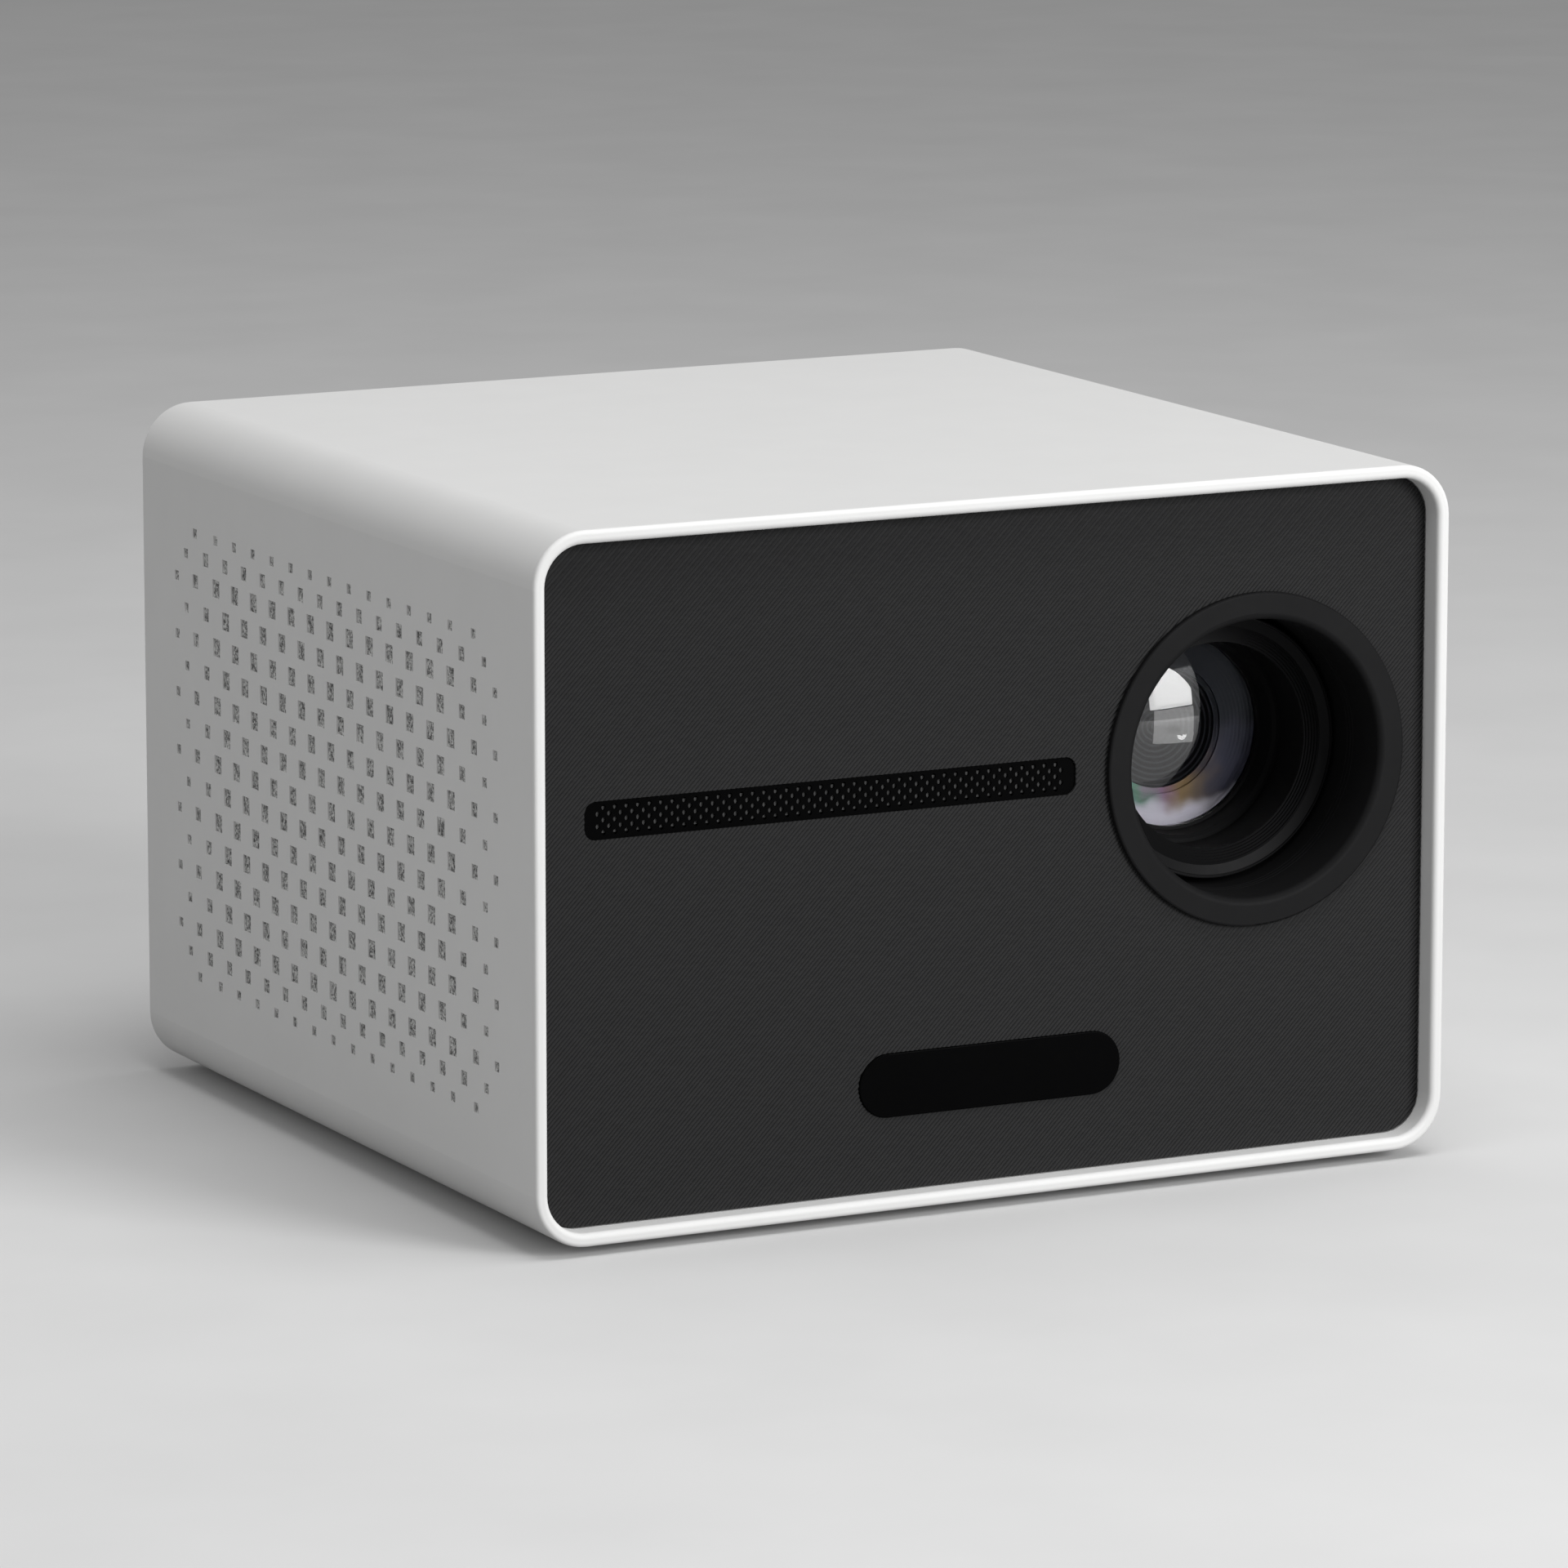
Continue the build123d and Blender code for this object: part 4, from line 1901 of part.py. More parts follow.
# Ribbon from the picture panel down to the main board
flex_top_z = plate_bottom_z - groove_gap / 2
flex_end_z = board_top_z + connector_height / 2
with BuildPart() as lcd_flex_cable:
    with BuildSketch(Plane(origin=(lens_x - flex_width / 2, 0, 0), x_dir=(0, 1, 0), z_dir=(1, 0, 0))):
        with BuildLine():
            FilletPolyline(
                (flex_y, flex_top_z),
                (flex_y, flex_end_z),
                (board_front_y + flex_plug_depth, flex_end_z),
                radius=flex_bend,
            )
        trace(line_width=flex_thickness)
    extrude(amount=flex_width)
save(lcd_flex_cable, "lcd_flex_cable")

# Pair of leads from the light source's board down to the main board
lead_top_z = lens_z - led_board_size / 2
lead_y = engine_back_y + led_board_thickness / 2
with BuildPart() as led_leads:
    for lead_x in (lens_x - lead_offset, lens_x - lead_offset - lead_spacing):
        lead_turn_z = (lead_top_z + board_top_z) / 2
        with BuildLine():
            FilletPolyline(
                (lead_x, lead_y, lead_top_z),
                (lead_x, lead_y, lead_turn_z + lead_bend),
                (lead_x, lead_end_y, lead_turn_z - lead_bend),
                (lead_x, lead_end_y, board_top_z + connector_height),
                radius=lead_bend,
            )
        with BuildSketch(Plane(origin=(lead_x, lead_y, lead_top_z), z_dir=(0, 0, -1))):
            Circle(lead_radius)
        sweep()
save(led_leads, "led_leads")

# Fasteners, one node for each kind
for screw_name, screw_sets in (
    ("countersunk_screws", (base_screws, rear_panel_screws, fan_screws)),
    ("pan_head_screws", (
        front_panel_screws, lens_mount_screws, heat_sink_screws, engine_screws, speaker_screws,
    )),
    ("small_screws", (engine_cover_screws, board_screws, button_board_screws)),
):
    with BuildPart() as screws:
        for screw_set in screw_sets:
            add(screw_set.part)
    save(screws, screw_name)
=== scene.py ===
import math

import bmesh
import bpy
from mathutils import Matrix, Vector


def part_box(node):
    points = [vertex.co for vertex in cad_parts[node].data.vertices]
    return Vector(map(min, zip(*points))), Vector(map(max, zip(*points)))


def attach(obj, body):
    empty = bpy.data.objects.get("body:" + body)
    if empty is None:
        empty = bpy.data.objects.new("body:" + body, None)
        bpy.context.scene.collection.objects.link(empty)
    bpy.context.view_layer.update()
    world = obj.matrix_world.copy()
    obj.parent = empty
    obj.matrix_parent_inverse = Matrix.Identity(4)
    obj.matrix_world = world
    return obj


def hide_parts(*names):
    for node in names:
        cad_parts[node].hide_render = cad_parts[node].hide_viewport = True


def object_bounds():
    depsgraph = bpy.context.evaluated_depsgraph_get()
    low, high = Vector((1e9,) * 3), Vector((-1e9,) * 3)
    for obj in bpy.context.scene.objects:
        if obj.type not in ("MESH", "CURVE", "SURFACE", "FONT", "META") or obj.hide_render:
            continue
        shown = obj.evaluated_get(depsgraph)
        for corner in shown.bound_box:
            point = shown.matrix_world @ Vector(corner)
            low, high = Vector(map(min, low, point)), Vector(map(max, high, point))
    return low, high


# Looks of a mini projector: white sleeve, woven dark front, deep lens well with coated glass.
# Metres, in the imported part's frame: X to the right seen from the front, -Y to the front, Z up.
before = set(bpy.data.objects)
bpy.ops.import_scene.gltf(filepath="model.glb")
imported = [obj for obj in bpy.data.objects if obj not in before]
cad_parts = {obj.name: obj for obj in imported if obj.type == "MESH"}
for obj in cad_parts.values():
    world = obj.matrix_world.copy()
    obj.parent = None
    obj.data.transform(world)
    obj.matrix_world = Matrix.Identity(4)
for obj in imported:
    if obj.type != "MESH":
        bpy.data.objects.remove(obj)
cad_low, cad_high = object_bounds()
MM = 0.001
THREAD = 0.74 * MM              # one ridge of the weave to the next
WEAVE_RELIEF = 0.26 * MM        # height of a ridge
WEAVE_STEPS = 12                # mesh rows over two ridges
LENS_AXIS = (61.7 * MM, 0, 87.35 * MM)
PAD_DEPTH = 0.3 * MM            # vent pads below the sleeve's outer faces
LENS_RING_STEP = 1.1 * MM       # fine rings seen in the middle glass
CONE_RING_STEP = 0.8 * MM       # fine rings of the cone with the painted reflection
FLOOR_REACH = 12                # half the floor's width


class Nodes:
    """A material's node tree with short ways to add and join nodes."""

    def __init__(self, name):
        self.material = bpy.data.materials.new(name)
        self.material.use_nodes = True
        self.tree = self.material.node_tree
        self.shader = self.tree.nodes["Principled BSDF"]
        self.coordinates = self.add("ShaderNodeTexCoord").outputs["Object"]

    def add(self, kind, **values):
        node = self.tree.nodes.new(kind)
        for key, value in values.items():
            if hasattr(node, key):
                setattr(node, key, value)
            else:
                node.inputs[key.replace("_", " ")].default_value = value
        return node

    def link(self, output, target):
        self.tree.links.new(output, target)

    def waves(self, spacing, vector, **kind):
        """A sine wave with one crest every spacing metres."""
        node = self.add("ShaderNodeTexWave", wave_profile="SIN", **kind)
        node.inputs["Scale"].default_value = 2 * math.pi / (20 * spacing)
        self.link(vector, node.inputs["Vector"])
        return node

    def place(self, turn=(0, 0, 0), scale=(1, 1, 1)):
        """Object coordinates, turned and scaled."""
        mapping = self.add("ShaderNodeMapping")
        mapping.inputs["Rotation"].default_value = turn
        mapping.inputs["Scale"].default_value = scale
        self.link(self.coordinates, mapping.inputs["Vector"])
        return mapping.outputs["Vector"]

    def noise(self, grain, detail=2.0, rough=0.5, vector=None):
        """Noise whose blotches are about grain millimetres across."""
        node = self.add("ShaderNodeTexNoise")
        node.inputs["Scale"].default_value = 1 / (grain * MM)
        node.inputs["Detail"].default_value = detail
        node.inputs["Roughness"].default_value = rough
        self.link(vector or self.coordinates, node.inputs["Vector"])
        return node.outputs["Fac"]

    def ramp(self, fac, low, high, start=0.3, end=0.7):
        """A colour between low and high as fac goes from start to end."""
        node = self.add("ShaderNodeValToRGB")
        node.color_ramp.elements[0].position = start
        node.color_ramp.elements[0].color = (*low, 1)
        node.color_ramp.elements[1].position = end
        node.color_ramp.elements[1].color = (*high, 1)
        self.link(fac, node.inputs["Fac"])
        return node.outputs["Color"]

    def span(self, fac, low, high):
        """fac from 0 to 1 mapped to low to high."""
        node = self.add("ShaderNodeMapRange")
        node.inputs["To Min"].default_value = low
        node.inputs["To Max"].default_value = high
        self.link(fac, node.inputs["Value"])
        return node.outputs["Result"]

    def between(self, value, start, end):
        """0 to 1 as the value goes from start to end."""
        node = self.add("ShaderNodeMapRange", interpolation_type="SMOOTHSTEP")
        node.inputs["From Min"].default_value = start
        node.inputs["From Max"].default_value = end
        self.link(value, node.inputs["Value"])
        return node.outputs["Result"]

    def about_lens(self):
        """Object coordinates from the optical axis."""
        node = self.add("ShaderNodeVectorMath", operation="SUBTRACT")
        node.inputs[1].default_value = LENS_AXIS
        self.link(self.coordinates, node.inputs[0])
        return node.outputs[0]

    def maths(self, operation, a, b):
        """The named operation on two numbers or sockets."""
        node = self.add("ShaderNodeMath", operation=operation)
        for value, socket in ((a, node.inputs[0]), (b, node.inputs[1])):
            if isinstance(value, (int, float)):
                socket.default_value = value
            else:
                self.link(value, socket)
        return node.outputs[0]

    def bump(self, height, distance, strength=1.0, under=None):
        """A bump of the given depth in millimetres, on top of another if given."""
        node = self.add("ShaderNodeBump")
        node.inputs["Strength"].default_value = strength
        node.inputs["Distance"].default_value = distance * MM
        self.link(height, node.inputs["Height"])
        if under is not None:
            self.link(under, node.inputs["Normal"])
        return node.outputs["Normal"]

    def colour(self, output):
        self.link(output, self.shader.inputs["Base Color"])

    def normal(self, output):
        self.link(output, self.shader.inputs["Normal"])

    def roughness(self, output):
        self.link(output, self.shader.inputs["Roughness"])

    def set(self, **values):
        for key, value in values.items():
            self.shader.inputs[key.replace("_", " ")].default_value = value


def shade(colour, amount):
    """A darker and a lighter tone of a colour."""
    darker = tuple(c * (1 - amount) for c in colour)
    lighter = tuple(min(1, c * (1 + amount)) for c in colour)
    return darker, lighter


def plastic(name, colour, rough=0.5, grain=0.3, depth=0.01, tone=0.04, gloss=0.5, coat=0.0):
    """Moulded plastic: slight tone drift, fine spark texture and uneven gloss."""
    n = Nodes(name)
    low, high = shade(colour, tone)
    n.colour(n.ramp(n.noise(14, 3), low, high))
    n.roughness(n.span(n.noise(2.2, 2), rough - 0.06, rough + 0.06))
    n.normal(n.bump(n.noise(grain, 3, 0.6), depth))
    n.set(Specular_IOR_Level=gloss, Coat_Weight=coat, Coat_Roughness=0.08)
    return n.material


def metal(name, colour, rough=0.3, brush=None, depth=0.004):
    """Bare metal with fine scratches; brush stretches them along one axis."""
    n = Nodes(name)
    vector = n.place(scale=brush) if brush else None
    scratches = n.noise(0.25, 4, 0.7, vector)
    low, high = shade(colour, 0.12)
    n.colour(n.ramp(scratches, low, high, 0.25, 0.75))
    n.roughness(n.span(n.noise(0.6, 3, 0.6, vector), rough * 0.7, rough * 1.4))
    n.normal(n.bump(scratches, depth))
    n.set(Metallic=1.0)
    return n.material


def board(name, colour, line):
    """Circuit board: solder mask over faint copper tracks and pads."""
    n = Nodes(name)
    cells = n.add("ShaderNodeTexVoronoi", feature="DISTANCE_TO_EDGE")
    cells.inputs["Scale"].default_value = 260
    n.link(n.coordinates, cells.inputs["Vector"])
    tracks = n.ramp(cells.outputs["Distance"], line, colour, 0.03, 0.06)
    n.colour(tracks)
    n.roughness(n.span(n.noise(3, 2), 0.3, 0.42))
    n.normal(n.bump(cells.outputs["Distance"], 0.02, 0.4, n.bump(n.noise(0.3, 2), 0.005)))
    return n.material


def glass(name, tint, gloss=0.5, rough=0.0):
    """Clear lens glass with faint dust; an anti-reflection coating lowers its gloss."""
    n = Nodes(name)
    n.colour(n.ramp(n.noise(9, 2), *shade(tint, 0.015)))
    dust = n.noise(0.35, 4, 0.8)
    n.roughness(n.span(n.maths("POWER", dust, 6.0), rough, rough + 0.02))
    n.set(Transmission_Weight=1.0, IOR=1.52, Specular_IOR_Level=gloss)
    return n.material


def painted_bore_lens_material():
    """Inner lens before the dark bore, coloured with painted shade of the bore behind it and the fine
    rings of its mount painted as paler rings showing through.
    """
    n = Nodes("inner_lens_painted_shade")
    rings = n.waves(LENS_RING_STEP, n.about_lens(), wave_type="RINGS", rings_direction="Y")
    # Painted shade of the bore behind the glass, with the mount's rings as paler painted rings
    n.colour(n.ramp(rings.outputs["Fac"], (0.002, 0.002, 0.003), (0.035, 0.035, 0.04), 0.5, 0.95))
    n.roughness(n.span(n.noise(0.35, 4, 0.8), 0.04, 0.1))
    n.normal(n.bump(rings.outputs["Fac"], 0.004))
    n.set(Specular_IOR_Level=0.05)
    return n.material


def painted_reflection_ring_material():
    """Satin cone between the glasses, with a painted reflection of the lens coating's teal, lilac and
    warm tones, a pale painted highlight at the bottom and painted shade at the top.
    """
    n = Nodes("ring_painted_reflection")
    spot = n.add("ShaderNodeSeparateXYZ")
    n.link(n.about_lens(), spot.inputs[0])
    drift = n.maths("MULTIPLY", n.noise(5, 1), 8 * MM)
    # Painted reflection: the coating's teal, lilac and warm tones laid across the cone by position
    reflection_hues = n.add("ShaderNodeValToRGB")
    reflection_tones = (
        (0.0, (0.34, 0.26, 0.4)), (0.2, (0.13, 0.3, 0.32)), (0.42, (0.16, 0.32, 0.23)),
        (0.6, (0.36, 0.22, 0.34)), (0.8, (0.36, 0.25, 0.13)), (1.0, (0.1, 0.1, 0.14)),
    )
    while len(reflection_hues.color_ramp.elements) < len(reflection_tones):
        reflection_hues.color_ramp.elements.new(0.5)
    for element, (position, tone) in zip(reflection_hues.color_ramp.elements, reflection_tones):
        element.position = position
        element.color = (*tone, 1)
    sideways = n.maths("ADD", spot.outputs["X"], drift)
    n.link(n.between(sideways, -15 * MM, 19 * MM), reflection_hues.inputs["Fac"])
    height = n.maths("ADD", spot.outputs["Z"], drift)
    # Painted highlight: a pale patch at the bottom of the cone
    pale = n.add("ShaderNodeMix", data_type="RGBA")
    n.link(n.between(height, -9 * MM, -14 * MM), pale.inputs[0])
    n.link(reflection_hues.outputs["Color"], pale.inputs[6])
    pale.inputs[7].default_value = (0.92, 0.88, 0.98, 1)
    # Painted shade: the top of the cone darkens to near black
    deep = n.add("ShaderNodeMix", data_type="RGBA")
    n.link(n.between(height, -6 * MM, 8 * MM), deep.inputs[0])
    n.link(pale.outputs[2], deep.inputs[6])
    deep.inputs[7].default_value = (0.036, 0.038, 0.043, 1)
    n.colour(deep.outputs[2])
    n.roughness(n.span(n.noise(1.5, 2), 0.36, 0.44))
    rings = n.waves(CONE_RING_STEP, n.about_lens(), wave_type="RINGS", rings_direction="Y")
    n.normal(n.bump(rings.outputs["Fac"], 0.012))
    n.set(Metallic=1.0)
    return n.material


# Materials
white = plastic("white_sleeve", (0.78, 0.78, 0.775), 0.55, 0.35, 0.006, 0.008, 0.22)
black = plastic("black_moulded", (0.014, 0.014, 0.0145), 0.5, 0.22, 0.012, 0.12, 0.3)
ring_black = plastic("ring_black", (0.0112, 0.0112, 0.0116), 0.5, 0.16, 0.003, 0.05, 0.03)
gloss_black = plastic("badge_black", (0.0013, 0.0013, 0.0014), 0.36, 0.6, 0.0005, 0.05, 0.012)
grille_black = plastic("grille_black", (0.0011, 0.0011, 0.0012), 0.5, 0.15, 0.004, 0.1, 0.01)
lens_black = plastic("lens_black", (0.0105, 0.0105, 0.011), 0.4, 0.2, 0.003, 0.06, 0.035)
rear_black = plastic("rear_black", (0.028, 0.028, 0.029), 0.55, 0.45, 0.03, 0.08, 0.35)
engine_grey = plastic("engine_grey", (0.11, 0.11, 0.115), 0.55, 0.3, 0.015, 0.06, 0.4)
fan_black = plastic("fan_black", (0.02, 0.02, 0.021), 0.42, 0.3, 0.01, 0.1, 0.4)
rotor_grey = plastic("rotor_grey", (0.05, 0.05, 0.052), 0.4, 0.3, 0.008, 0.08, 0.45)
acetal = plastic("acetal_white", (0.78, 0.77, 0.72), 0.38, 0.3, 0.004, 0.02, 0.5)
chip = plastic("chip_black", (0.022, 0.022, 0.023), 0.6, 0.12, 0.01, 0.12, 0.4)
button_black = plastic("button_black", (0.02, 0.02, 0.021), 0.3, 0.2, 0.004, 0.08, 0.45, 0.3)
steel = metal("zinc_steel", (0.56, 0.56, 0.57), 0.32)
dark_steel = metal("black_steel", (0.09, 0.09, 0.093), 0.38)
aluminium = metal("aluminium", (0.78, 0.79, 0.8), 0.36, (1, 0.08, 1))
brass = metal("brass", (0.78, 0.56, 0.23), 0.28)
mirror = metal("mirror", (0.93, 0.93, 0.93), 0.05, None, 0.0005)
green_board = board("green_board", (0.012, 0.075, 0.03), (0.03, 0.16, 0.07))
tan_board = board("tan_board", (0.34, 0.2, 0.08), (0.45, 0.3, 0.14))
white_board = board("white_board", (0.74, 0.74, 0.72), (0.6, 0.6, 0.56))
front_coated = glass("front_glass_coated", (0.96, 0.97, 0.98), 0.3)
inner_coated = glass("inner_glass_coated", (0.5, 0.52, 0.55), 0.1)
clear_moulding = glass("clear_moulding", (0.96, 0.97, 0.98), 0.5, 0.05)


def rubber_material():
    """Dull black rubber of the feet."""
    n = Nodes("foot_rubber")
    n.colour(n.ramp(n.noise(5, 3), (0.018, 0.018, 0.018), (0.03, 0.03, 0.03)))
    n.roughness(n.span(n.noise(1, 2), 0.75, 0.9))
    n.normal(n.bump(n.noise(0.4, 3), 0.03))
    n.set(Specular_IOR_Level=0.25)
    return n.material


def screen_material():
    """Grey non-woven sheet with dark and light flecks."""
    n = Nodes("dust_screen")
    flecks = n.noise(0.6, 4, 0.75)
    n.colour(n.ramp(flecks, (0.07, 0.07, 0.07), (0.8, 0.8, 0.79), 0.4, 0.62))
    n.roughness(n.span(n.noise(1, 2), 0.8, 0.95))
    n.normal(n.bump(flecks, 0.12, 0.8))
    n.set(Specular_IOR_Level=0.2)
    return n.material


def cloth_material():
    """Loose dark cloth behind the slot's holes."""
    n = Nodes("slot_cloth")
    n.colour(n.ramp(n.noise(0.5, 3), (0.03, 0.03, 0.03), (0.07, 0.07, 0.07)))
    n.roughness(n.span(n.noise(1, 2), 0.85, 0.95))
    n.normal(n.bump(n.noise(0.3, 2), 0.05))
    return n.material


def weave_material(centre):
    """Dark thread with a painted highlight along the crown of each diagonal ridge, and a slight change
    between threads.
    """
    n = Nodes("woven_front")
    diagonal = (0, math.radians(45), 0)
    ridges = n.waves(THREAD, n.place(turn=diagonal), wave_type="BANDS", bands_direction="Z")
    across = (centre.z - centre.x) / math.sqrt(2)
    # The painted highlight is lined up with the crowns of the real relief
    ridges.inputs["Phase Offset"].default_value = math.pi / 2 - 2 * math.pi * across / THREAD
    threads = n.noise(0.5, 3, 0.6, n.place(turn=diagonal, scale=(0.25, 1, 1)))
    fibre = n.noise(0.12, 3, 0.7)
    # Painted highlight: paler colour on each ridge's crown, where the light catches it; the thread noise
    # is real variation
    crown_highlight = n.maths("MULTIPLY", ridges.outputs["Fac"], 1.5)
    highlight_and_threads = n.maths("MULTIPLY", n.maths("ADD", crown_highlight, threads), 0.4)
    n.colour(n.ramp(highlight_and_threads, (0.0125, 0.0125, 0.013), (0.0345, 0.0345, 0.035), 0.15, 0.85))
    n.roughness(n.span(fibre, 0.62, 0.85))
    n.normal(n.bump(fibre, 0.012, 0.5))
    n.set(Specular_IOR_Level=0.06)
    return n.material


def film_material():
    """Amber film of the flex cable, with its tracks as darker bands."""
    n = Nodes("amber_film")
    bands = n.add("ShaderNodeTexWave", wave_type="BANDS", bands_direction="X", wave_profile="SIN")
    bands.inputs["Scale"].default_value = 50
    n.link(n.coordinates, bands.inputs["Vector"])
    n.colour(n.ramp(bands.outputs["Fac"], (0.35, 0.12, 0.02), (0.5, 0.2, 0.04), 0.35, 0.6))
    n.roughness(n.span(n.noise(2, 2), 0.25, 0.35))
    n.normal(n.bump(bands.outputs["Fac"], 0.02))
    return n.material


def picture_glass_material():
    """Dark glass of the picture panel."""
    n = Nodes("picture_panel")
    n.colour(n.ramp(n.noise(6, 2), (0.02, 0.021, 0.03), (0.03, 0.032, 0.045)))
    n.roughness(n.span(n.noise(1.5, 2), 0.06, 0.12))
    n.normal(n.bump(n.noise(8, 1), 0.004))
    n.set(Coat_Weight=0.5, Coat_Roughness=0.03)
    return n.material


def lead_material():
    """Red insulation of the light source's leads."""
    n = Nodes("red_lead")
    n.colour(n.ramp(n.noise(3, 2), (0.35, 0.012, 0.01), (0.5, 0.02, 0.015)))
    n.roughness(n.span(n.noise(1, 2), 0.4, 0.5))
    n.normal(n.bump(n.noise(0.4, 2), 0.01))
    return n.material


looks = {
    white: ["housing_sleeve"],
    black: ["front_panel", "lcd_frame", "ac_inlet", "audio_jack", "speaker_box", "speaker_cones"],
    ring_black: ["lens_bezel"],
    gloss_black: ["badge_plate"],
    grille_black: ["slot_grille"],
    lens_black: ["lens_barrel", "glass_retaining_ring", "focus_ring"],
    painted_reflection_ring_material(): ["aperture_ring"],
    rear_black: ["rear_panel"],
    engine_grey: ["lens_mount", "engine_case", "engine_cover", "base_tray"],
    fan_black: ["exhaust_fan_frame", "blower_housing"],
    rotor_grey: ["exhaust_fan_rotor", "blower_rotor"],
    acetal: ["focus_pinion", "switch_plunger"],
    chip: ["board_chips", "psu_parts"],
    button_black: ["power_button"],
    steel: ["focus_pins", "focus_motor", "motor_bracket", "hdmi_sockets", "usb_sockets",
            "pan_head_screws", "small_screws"],
    dark_steel: ["focus_ring_clip", "speaker_frames", "speaker_magnets", "countersunk_screws"],
    aluminium: ["heat_sink", "condenser_holder"],
    brass: ["tripod_insert", "inlet_pins"],
    mirror: ["reflector_cup"],
    green_board: ["main_board", "button_switch"],
    tan_board: ["psu_board"],
    white_board: ["led_board"],
    front_coated: ["front_glass"],
    painted_bore_lens_material(): ["middle_glass"],
    inner_coated: ["rear_glass", "condenser_lens"],
    clear_moulding: ["fresnel_lenses"],
    rubber_material(): ["rubber_feet"],
    screen_material(): ["side_dust_screens"],
    cloth_material(): ["grille_cloth"],
    film_material(): ["lcd_flex_cable"],
    picture_glass_material(): ["lcd_panel"],
    lead_material(): ["led_leads"],
}
for material, names in looks.items():
    for name in names:
        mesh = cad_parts[name].data
        mesh.materials.clear()
        mesh.materials.append(material)


def closed_copy(name, push):
    """A CAD node's mesh with its doubled points joined, its front and back pushed out along Y."""
    low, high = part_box(name)
    middle = (low.y + high.y) / 2
    bm = bmesh.new()
    bm.from_mesh(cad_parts[name].data)
    bmesh.ops.remove_doubles(bm, verts=bm.verts, dist=1e-6)
    for vertex in bm.verts:
        vertex.co.y += push if vertex.co.y > middle else -push
    mesh = bpy.data.meshes.new(name + "_cutter")
    bm.to_mesh(mesh)
    bm.free()
    return bpy.data.objects.new(name + "_cutter", mesh)


def new_piece(name, bm):
    """A scene object from a finished mesh."""
    mesh = bpy.data.meshes.new(name)
    bm.to_mesh(mesh)
    bm.free()
    piece = bpy.data.objects.new(name, mesh)
    bpy.context.scene.collection.objects.link(piece)
    return piece


def cut_by(piece, cutter, operation):
    """Cut a piece with a closed mesh and keep the result as its own mesh."""
    bpy.context.scene.collection.objects.link(cutter)
    cut = piece.modifiers.new("cut", "BOOLEAN")
    cut.operation = operation
    cut.solver = "EXACT"
    cut.object = cutter
    bpy.context.view_layer.update()
    graph = bpy.context.evaluated_depsgraph_get()
    done = bpy.data.meshes.new_from_object(piece.evaluated_get(graph))
    piece.modifiers.clear()
    piece.data = done
    bpy.data.objects.remove(cutter)
    done.materials.clear()


def woven_front():
    """The woven skin: diagonal ridges in real relief, cut to the plate's outline and holes."""
    low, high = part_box("front_fabric")
    centre = (low + high) / 2
    pitch = 2 * THREAD
    reach = ((high.x - low.x) + (high.z - low.z)) / 2 / math.sqrt(2) + pitch
    across = Vector((1, 0, -1)).normalized()
    along = Vector((1, 0, 1)).normalized()
    count = int(2 * reach / pitch * WEAVE_STEPS)
    bm = bmesh.new()
    rows = []
    for i in range(count + 1):
        u = -reach + i * pitch / WEAVE_STEPS
        turn = 2 * math.pi * u / pitch
        # Every second ridge is a little lower
        lift = 0.5 + 0.32 * math.cos(2 * turn) + 0.18 * math.cos(turn)
        base = centre + across * u
        points = []
        for y in (low.y + WEAVE_RELIEF * (1 - lift), high.y):
            for v in (-reach, reach):
                spot = base + along * v
                points.append(bm.verts.new((spot.x, y, spot.z)))
        rows.append(points)
    for a, b in zip(rows, rows[1:]):
        bm.faces.new((a[0], a[1], b[1], b[0]))
        bm.faces.new((a[2], b[2], b[3], a[3]))
        bm.faces.new((a[0], b[0], b[2], a[2]))
        bm.faces.new((a[1], a[3], b[3], b[1]))
    for row in (rows[0], rows[-1]):
        bm.faces.new((row[0], row[2], row[3], row[1]))
    bmesh.ops.recalc_face_normals(bm, faces=bm.faces)
    piece = new_piece("woven_front", bm)
    cut_by(piece, closed_copy("front_fabric", 1 * MM), "INTERSECT")
    piece.data.materials.append(weave_material(centre))
    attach(piece, "projector_body")
    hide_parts("front_fabric")


woven_front()


def vent_pads():
    """The dust sheet where it is pressed into the vent holes, a little below the sleeve's outside."""
    low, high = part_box("side_dust_screens")
    outer = cad_high.x - PAD_DEPTH
    box_faces = ((0, 1, 3, 2), (4, 6, 7, 5), (0, 4, 5, 1), (2, 3, 7, 6), (0, 2, 6, 4), (1, 5, 7, 3))
    bm = bmesh.new()
    for near, far in ((high.x, outer), (-outer, -high.x)):
        corners = [
            bm.verts.new((x, y, z))
            for x in (near, far) for y in (low.y, high.y) for z in (low.z, high.z)
        ]
        for face in box_faces:
            bm.faces.new([corners[i] for i in face])
    bmesh.ops.recalc_face_normals(bm, faces=bm.faces)
    piece = new_piece("vent_pads", bm)
    cut_by(piece, closed_copy("housing_sleeve", 0.0), "DIFFERENCE")
    piece.data.materials.append(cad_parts["side_dust_screens"].data.materials[0])
    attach(piece, "projector_body")


vent_pads()


def area_light(name, place, target, width, height, power):
    """A soft lamp at a place, turned to a target."""
    lamp = bpy.data.lights.new(name, "AREA")
    lamp.shape = "RECTANGLE"
    lamp.size = width
    lamp.size_y = height
    lamp.energy = power
    obj = bpy.data.objects.new(name, lamp)
    obj.location = place
    obj.rotation_mode = "QUATERNION"
    obj.rotation_quaternion = (Vector(target) - Vector(place)).to_track_quat("-Z", "Y")
    bpy.context.scene.collection.objects.link(obj)
    return obj


def on_sphere(azimuth, elevation, distance, centre):
    """A point at a distance from the centre; azimuth 0 is straight in front and grows to the right."""
    a, e = math.radians(azimuth), math.radians(elevation)
    way = Vector((math.sin(a) * math.cos(e), -math.cos(a) * math.cos(e), math.sin(e)))
    return Vector(centre) + distance * way


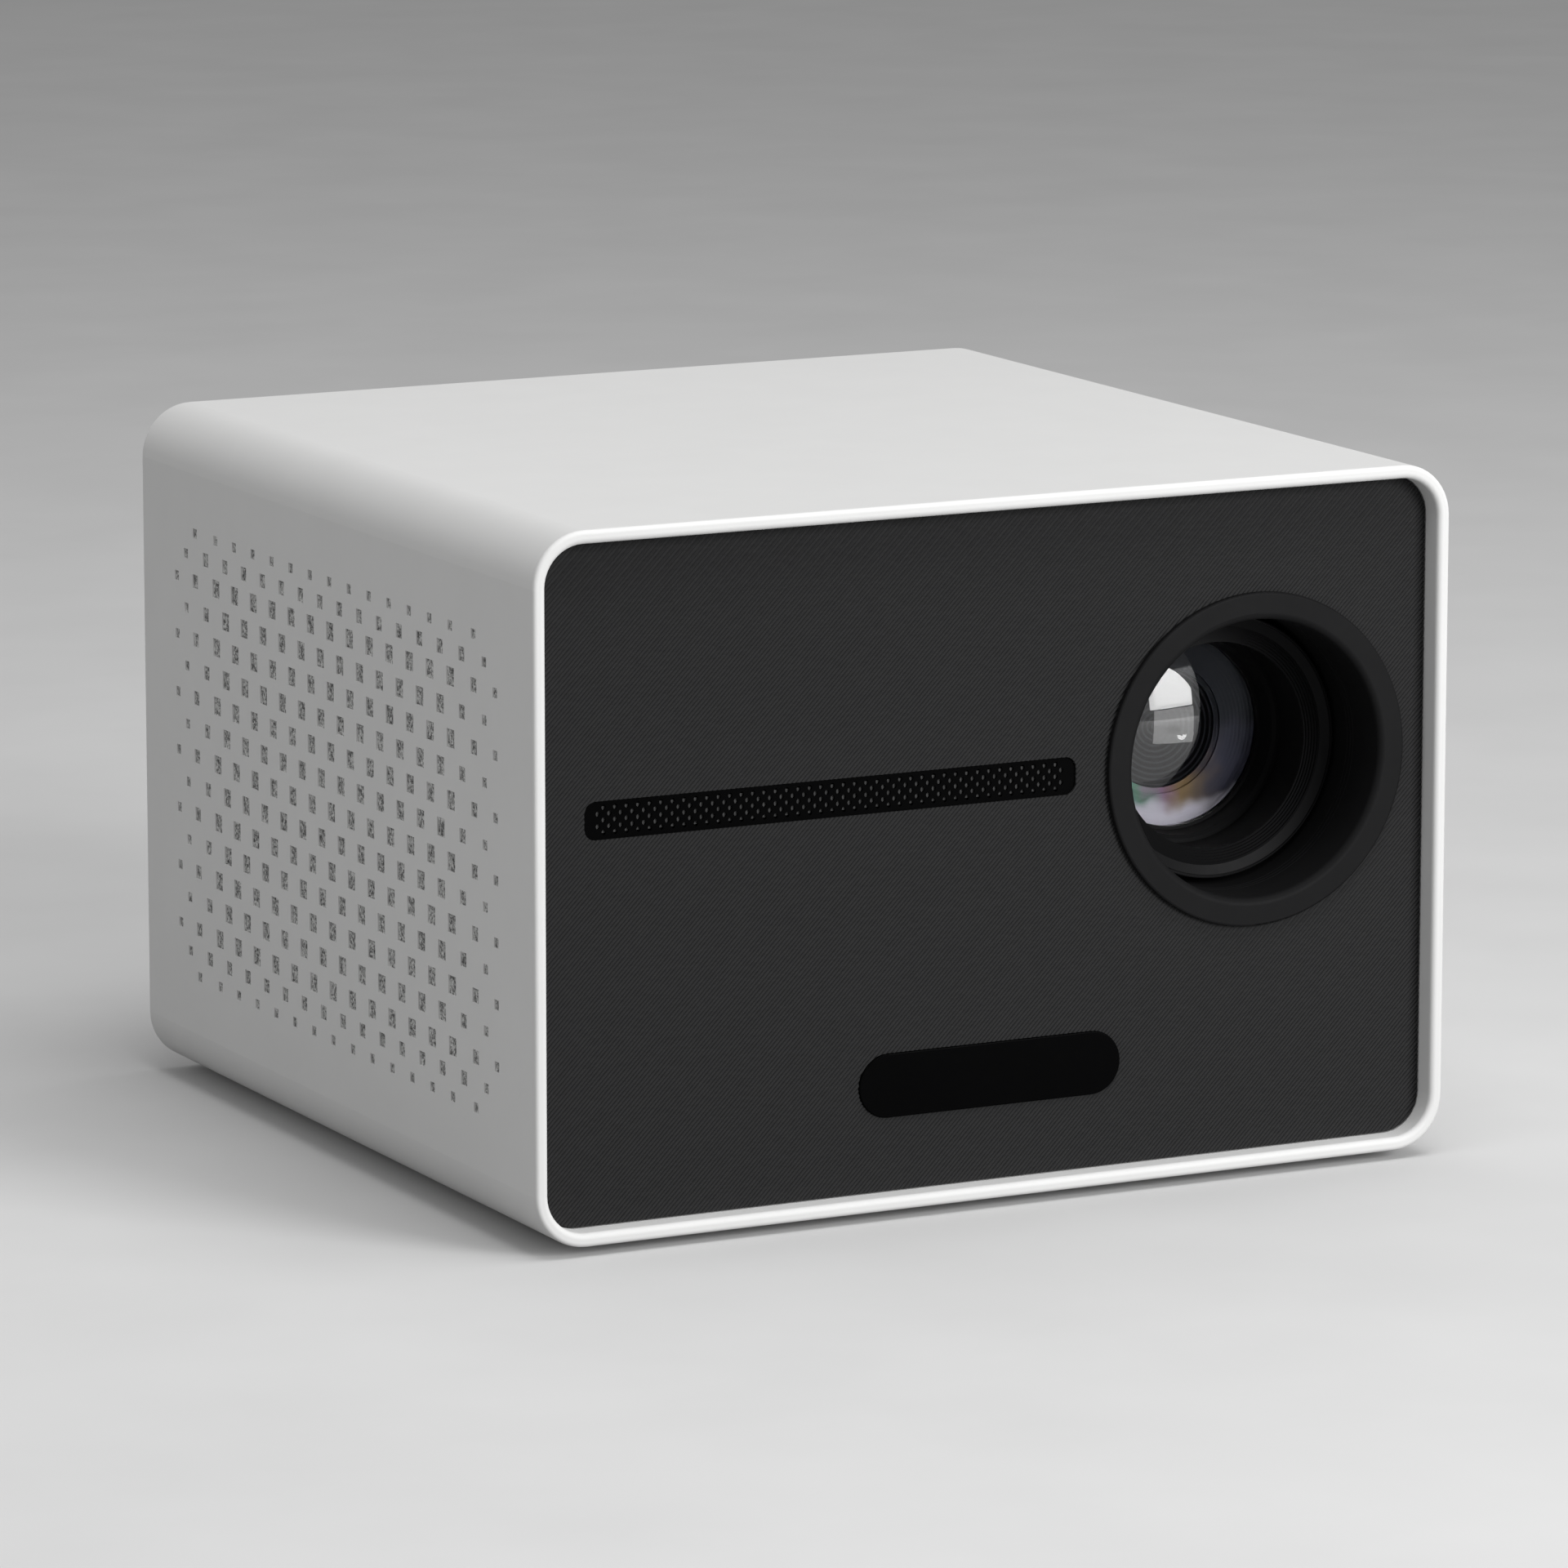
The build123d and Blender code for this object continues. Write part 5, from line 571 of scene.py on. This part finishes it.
# Studio: key, top and fill light the object, softbox and glint show only as a reflection in the lens
middle = (0, 0, 0.075)
key = area_light("key", on_sphere(25, 16, 1.6, middle), middle, 0.62, 0.8, 19.0)
key.visible_transmission = False
area_light("top", (0.1, -0.35, 1.7), middle, 1.3, 1.1, 14.0)
area_light("fill", on_sphere(-75, 20, 1.8, middle), middle, 1.0, 1.0, 3.0)
lens = (0.0617, -0.063, 0.0873)  # front glass, which the two small lamps face
softbox = area_light("softbox", on_sphere(25, -6, 0.36, lens), lens, 0.14, 0.1, 0.16)
glint = area_light("glint", on_sphere(25, 15, 0.36, lens), lens, 0.13, 0.14, 0.2)
for lamp in (softbox, glint):
    lamp.visible_diffuse = False
    lamp.visible_camera = False
    lamp.visible_transmission = False

world = bpy.data.worlds.new("studio")
bpy.context.scene.world = world
world.use_nodes = True
world.node_tree.nodes["Background"].inputs["Color"].default_value = (1.0, 1.0, 1.0, 1)
world.node_tree.nodes["Background"].inputs["Strength"].default_value = 0.3


def floor_material():
    """Pale floor. It looks pale to the camera, in gloss and through glass, and lights the object less."""
    n = Nodes("studio_floor")
    n.colour(n.ramp(n.noise(60, 3), (0.7, 0.7, 0.7), (0.73, 0.73, 0.73)))
    n.roughness(n.span(n.noise(4, 2), 0.75, 0.85))
    n.set(Specular_IOR_Level=0.0)
    path = n.add("ShaderNodeLightPath")
    seen = n.maths(
        "MAXIMUM", path.outputs["Is Camera Ray"],
        n.maths("MAXIMUM", path.outputs["Is Glossy Ray"], path.outputs["Is Transmission Ray"]),
    )
    dim = n.add("ShaderNodeBsdfDiffuse")
    dim.inputs["Color"].default_value = (0.32, 0.32, 0.32, 1)
    mix = n.add("ShaderNodeMixShader")
    n.link(seen, mix.inputs[0])
    n.link(dim.outputs[0], mix.inputs[1])
    n.link(n.shader.outputs[0], mix.inputs[2])
    n.link(mix.outputs[0], n.tree.nodes["Material Output"].inputs["Surface"])
    return n.material


floor_mesh = bpy.data.meshes.new("floor")
corners = [(x * FLOOR_REACH, y * FLOOR_REACH, 0) for x, y in ((-1, -1), (1, -1), (1, 1), (-1, 1))]
floor_mesh.from_pydata(corners, [], [(0, 1, 2, 3)])
floor = bpy.data.objects.new("floor", floor_mesh)
floor_mesh.materials.append(floor_material())
bpy.context.scene.collection.objects.link(floor)

# Camera, from the solved view of the photograph
camera_data = bpy.data.cameras.new("camera")
camera_data.lens = 199.65
camera_data.sensor_width = 36.0
camera_data.shift_x = 0.00618
camera_data.shift_y = -0.01106
camera_data.clip_end = 50
camera = bpy.data.objects.new("camera", camera_data)
bpy.context.scene.collection.objects.link(camera)
forward = Vector((0.44424, 0.87662, -0.18493)).normalized()
right = forward.cross(Vector((0, 0, 1))).normalized()
upward = right.cross(forward)
turned = Matrix((right, upward, -forward)).transposed().to_4x4()
camera.matrix_world = Matrix.Translation(Vector((-0.82406, -1.62235, 0.41763))) @ turned
bpy.context.scene.camera = camera
bpy.context.scene.view_settings.view_transform = "Standard"

bpy.context.view_layer.update()
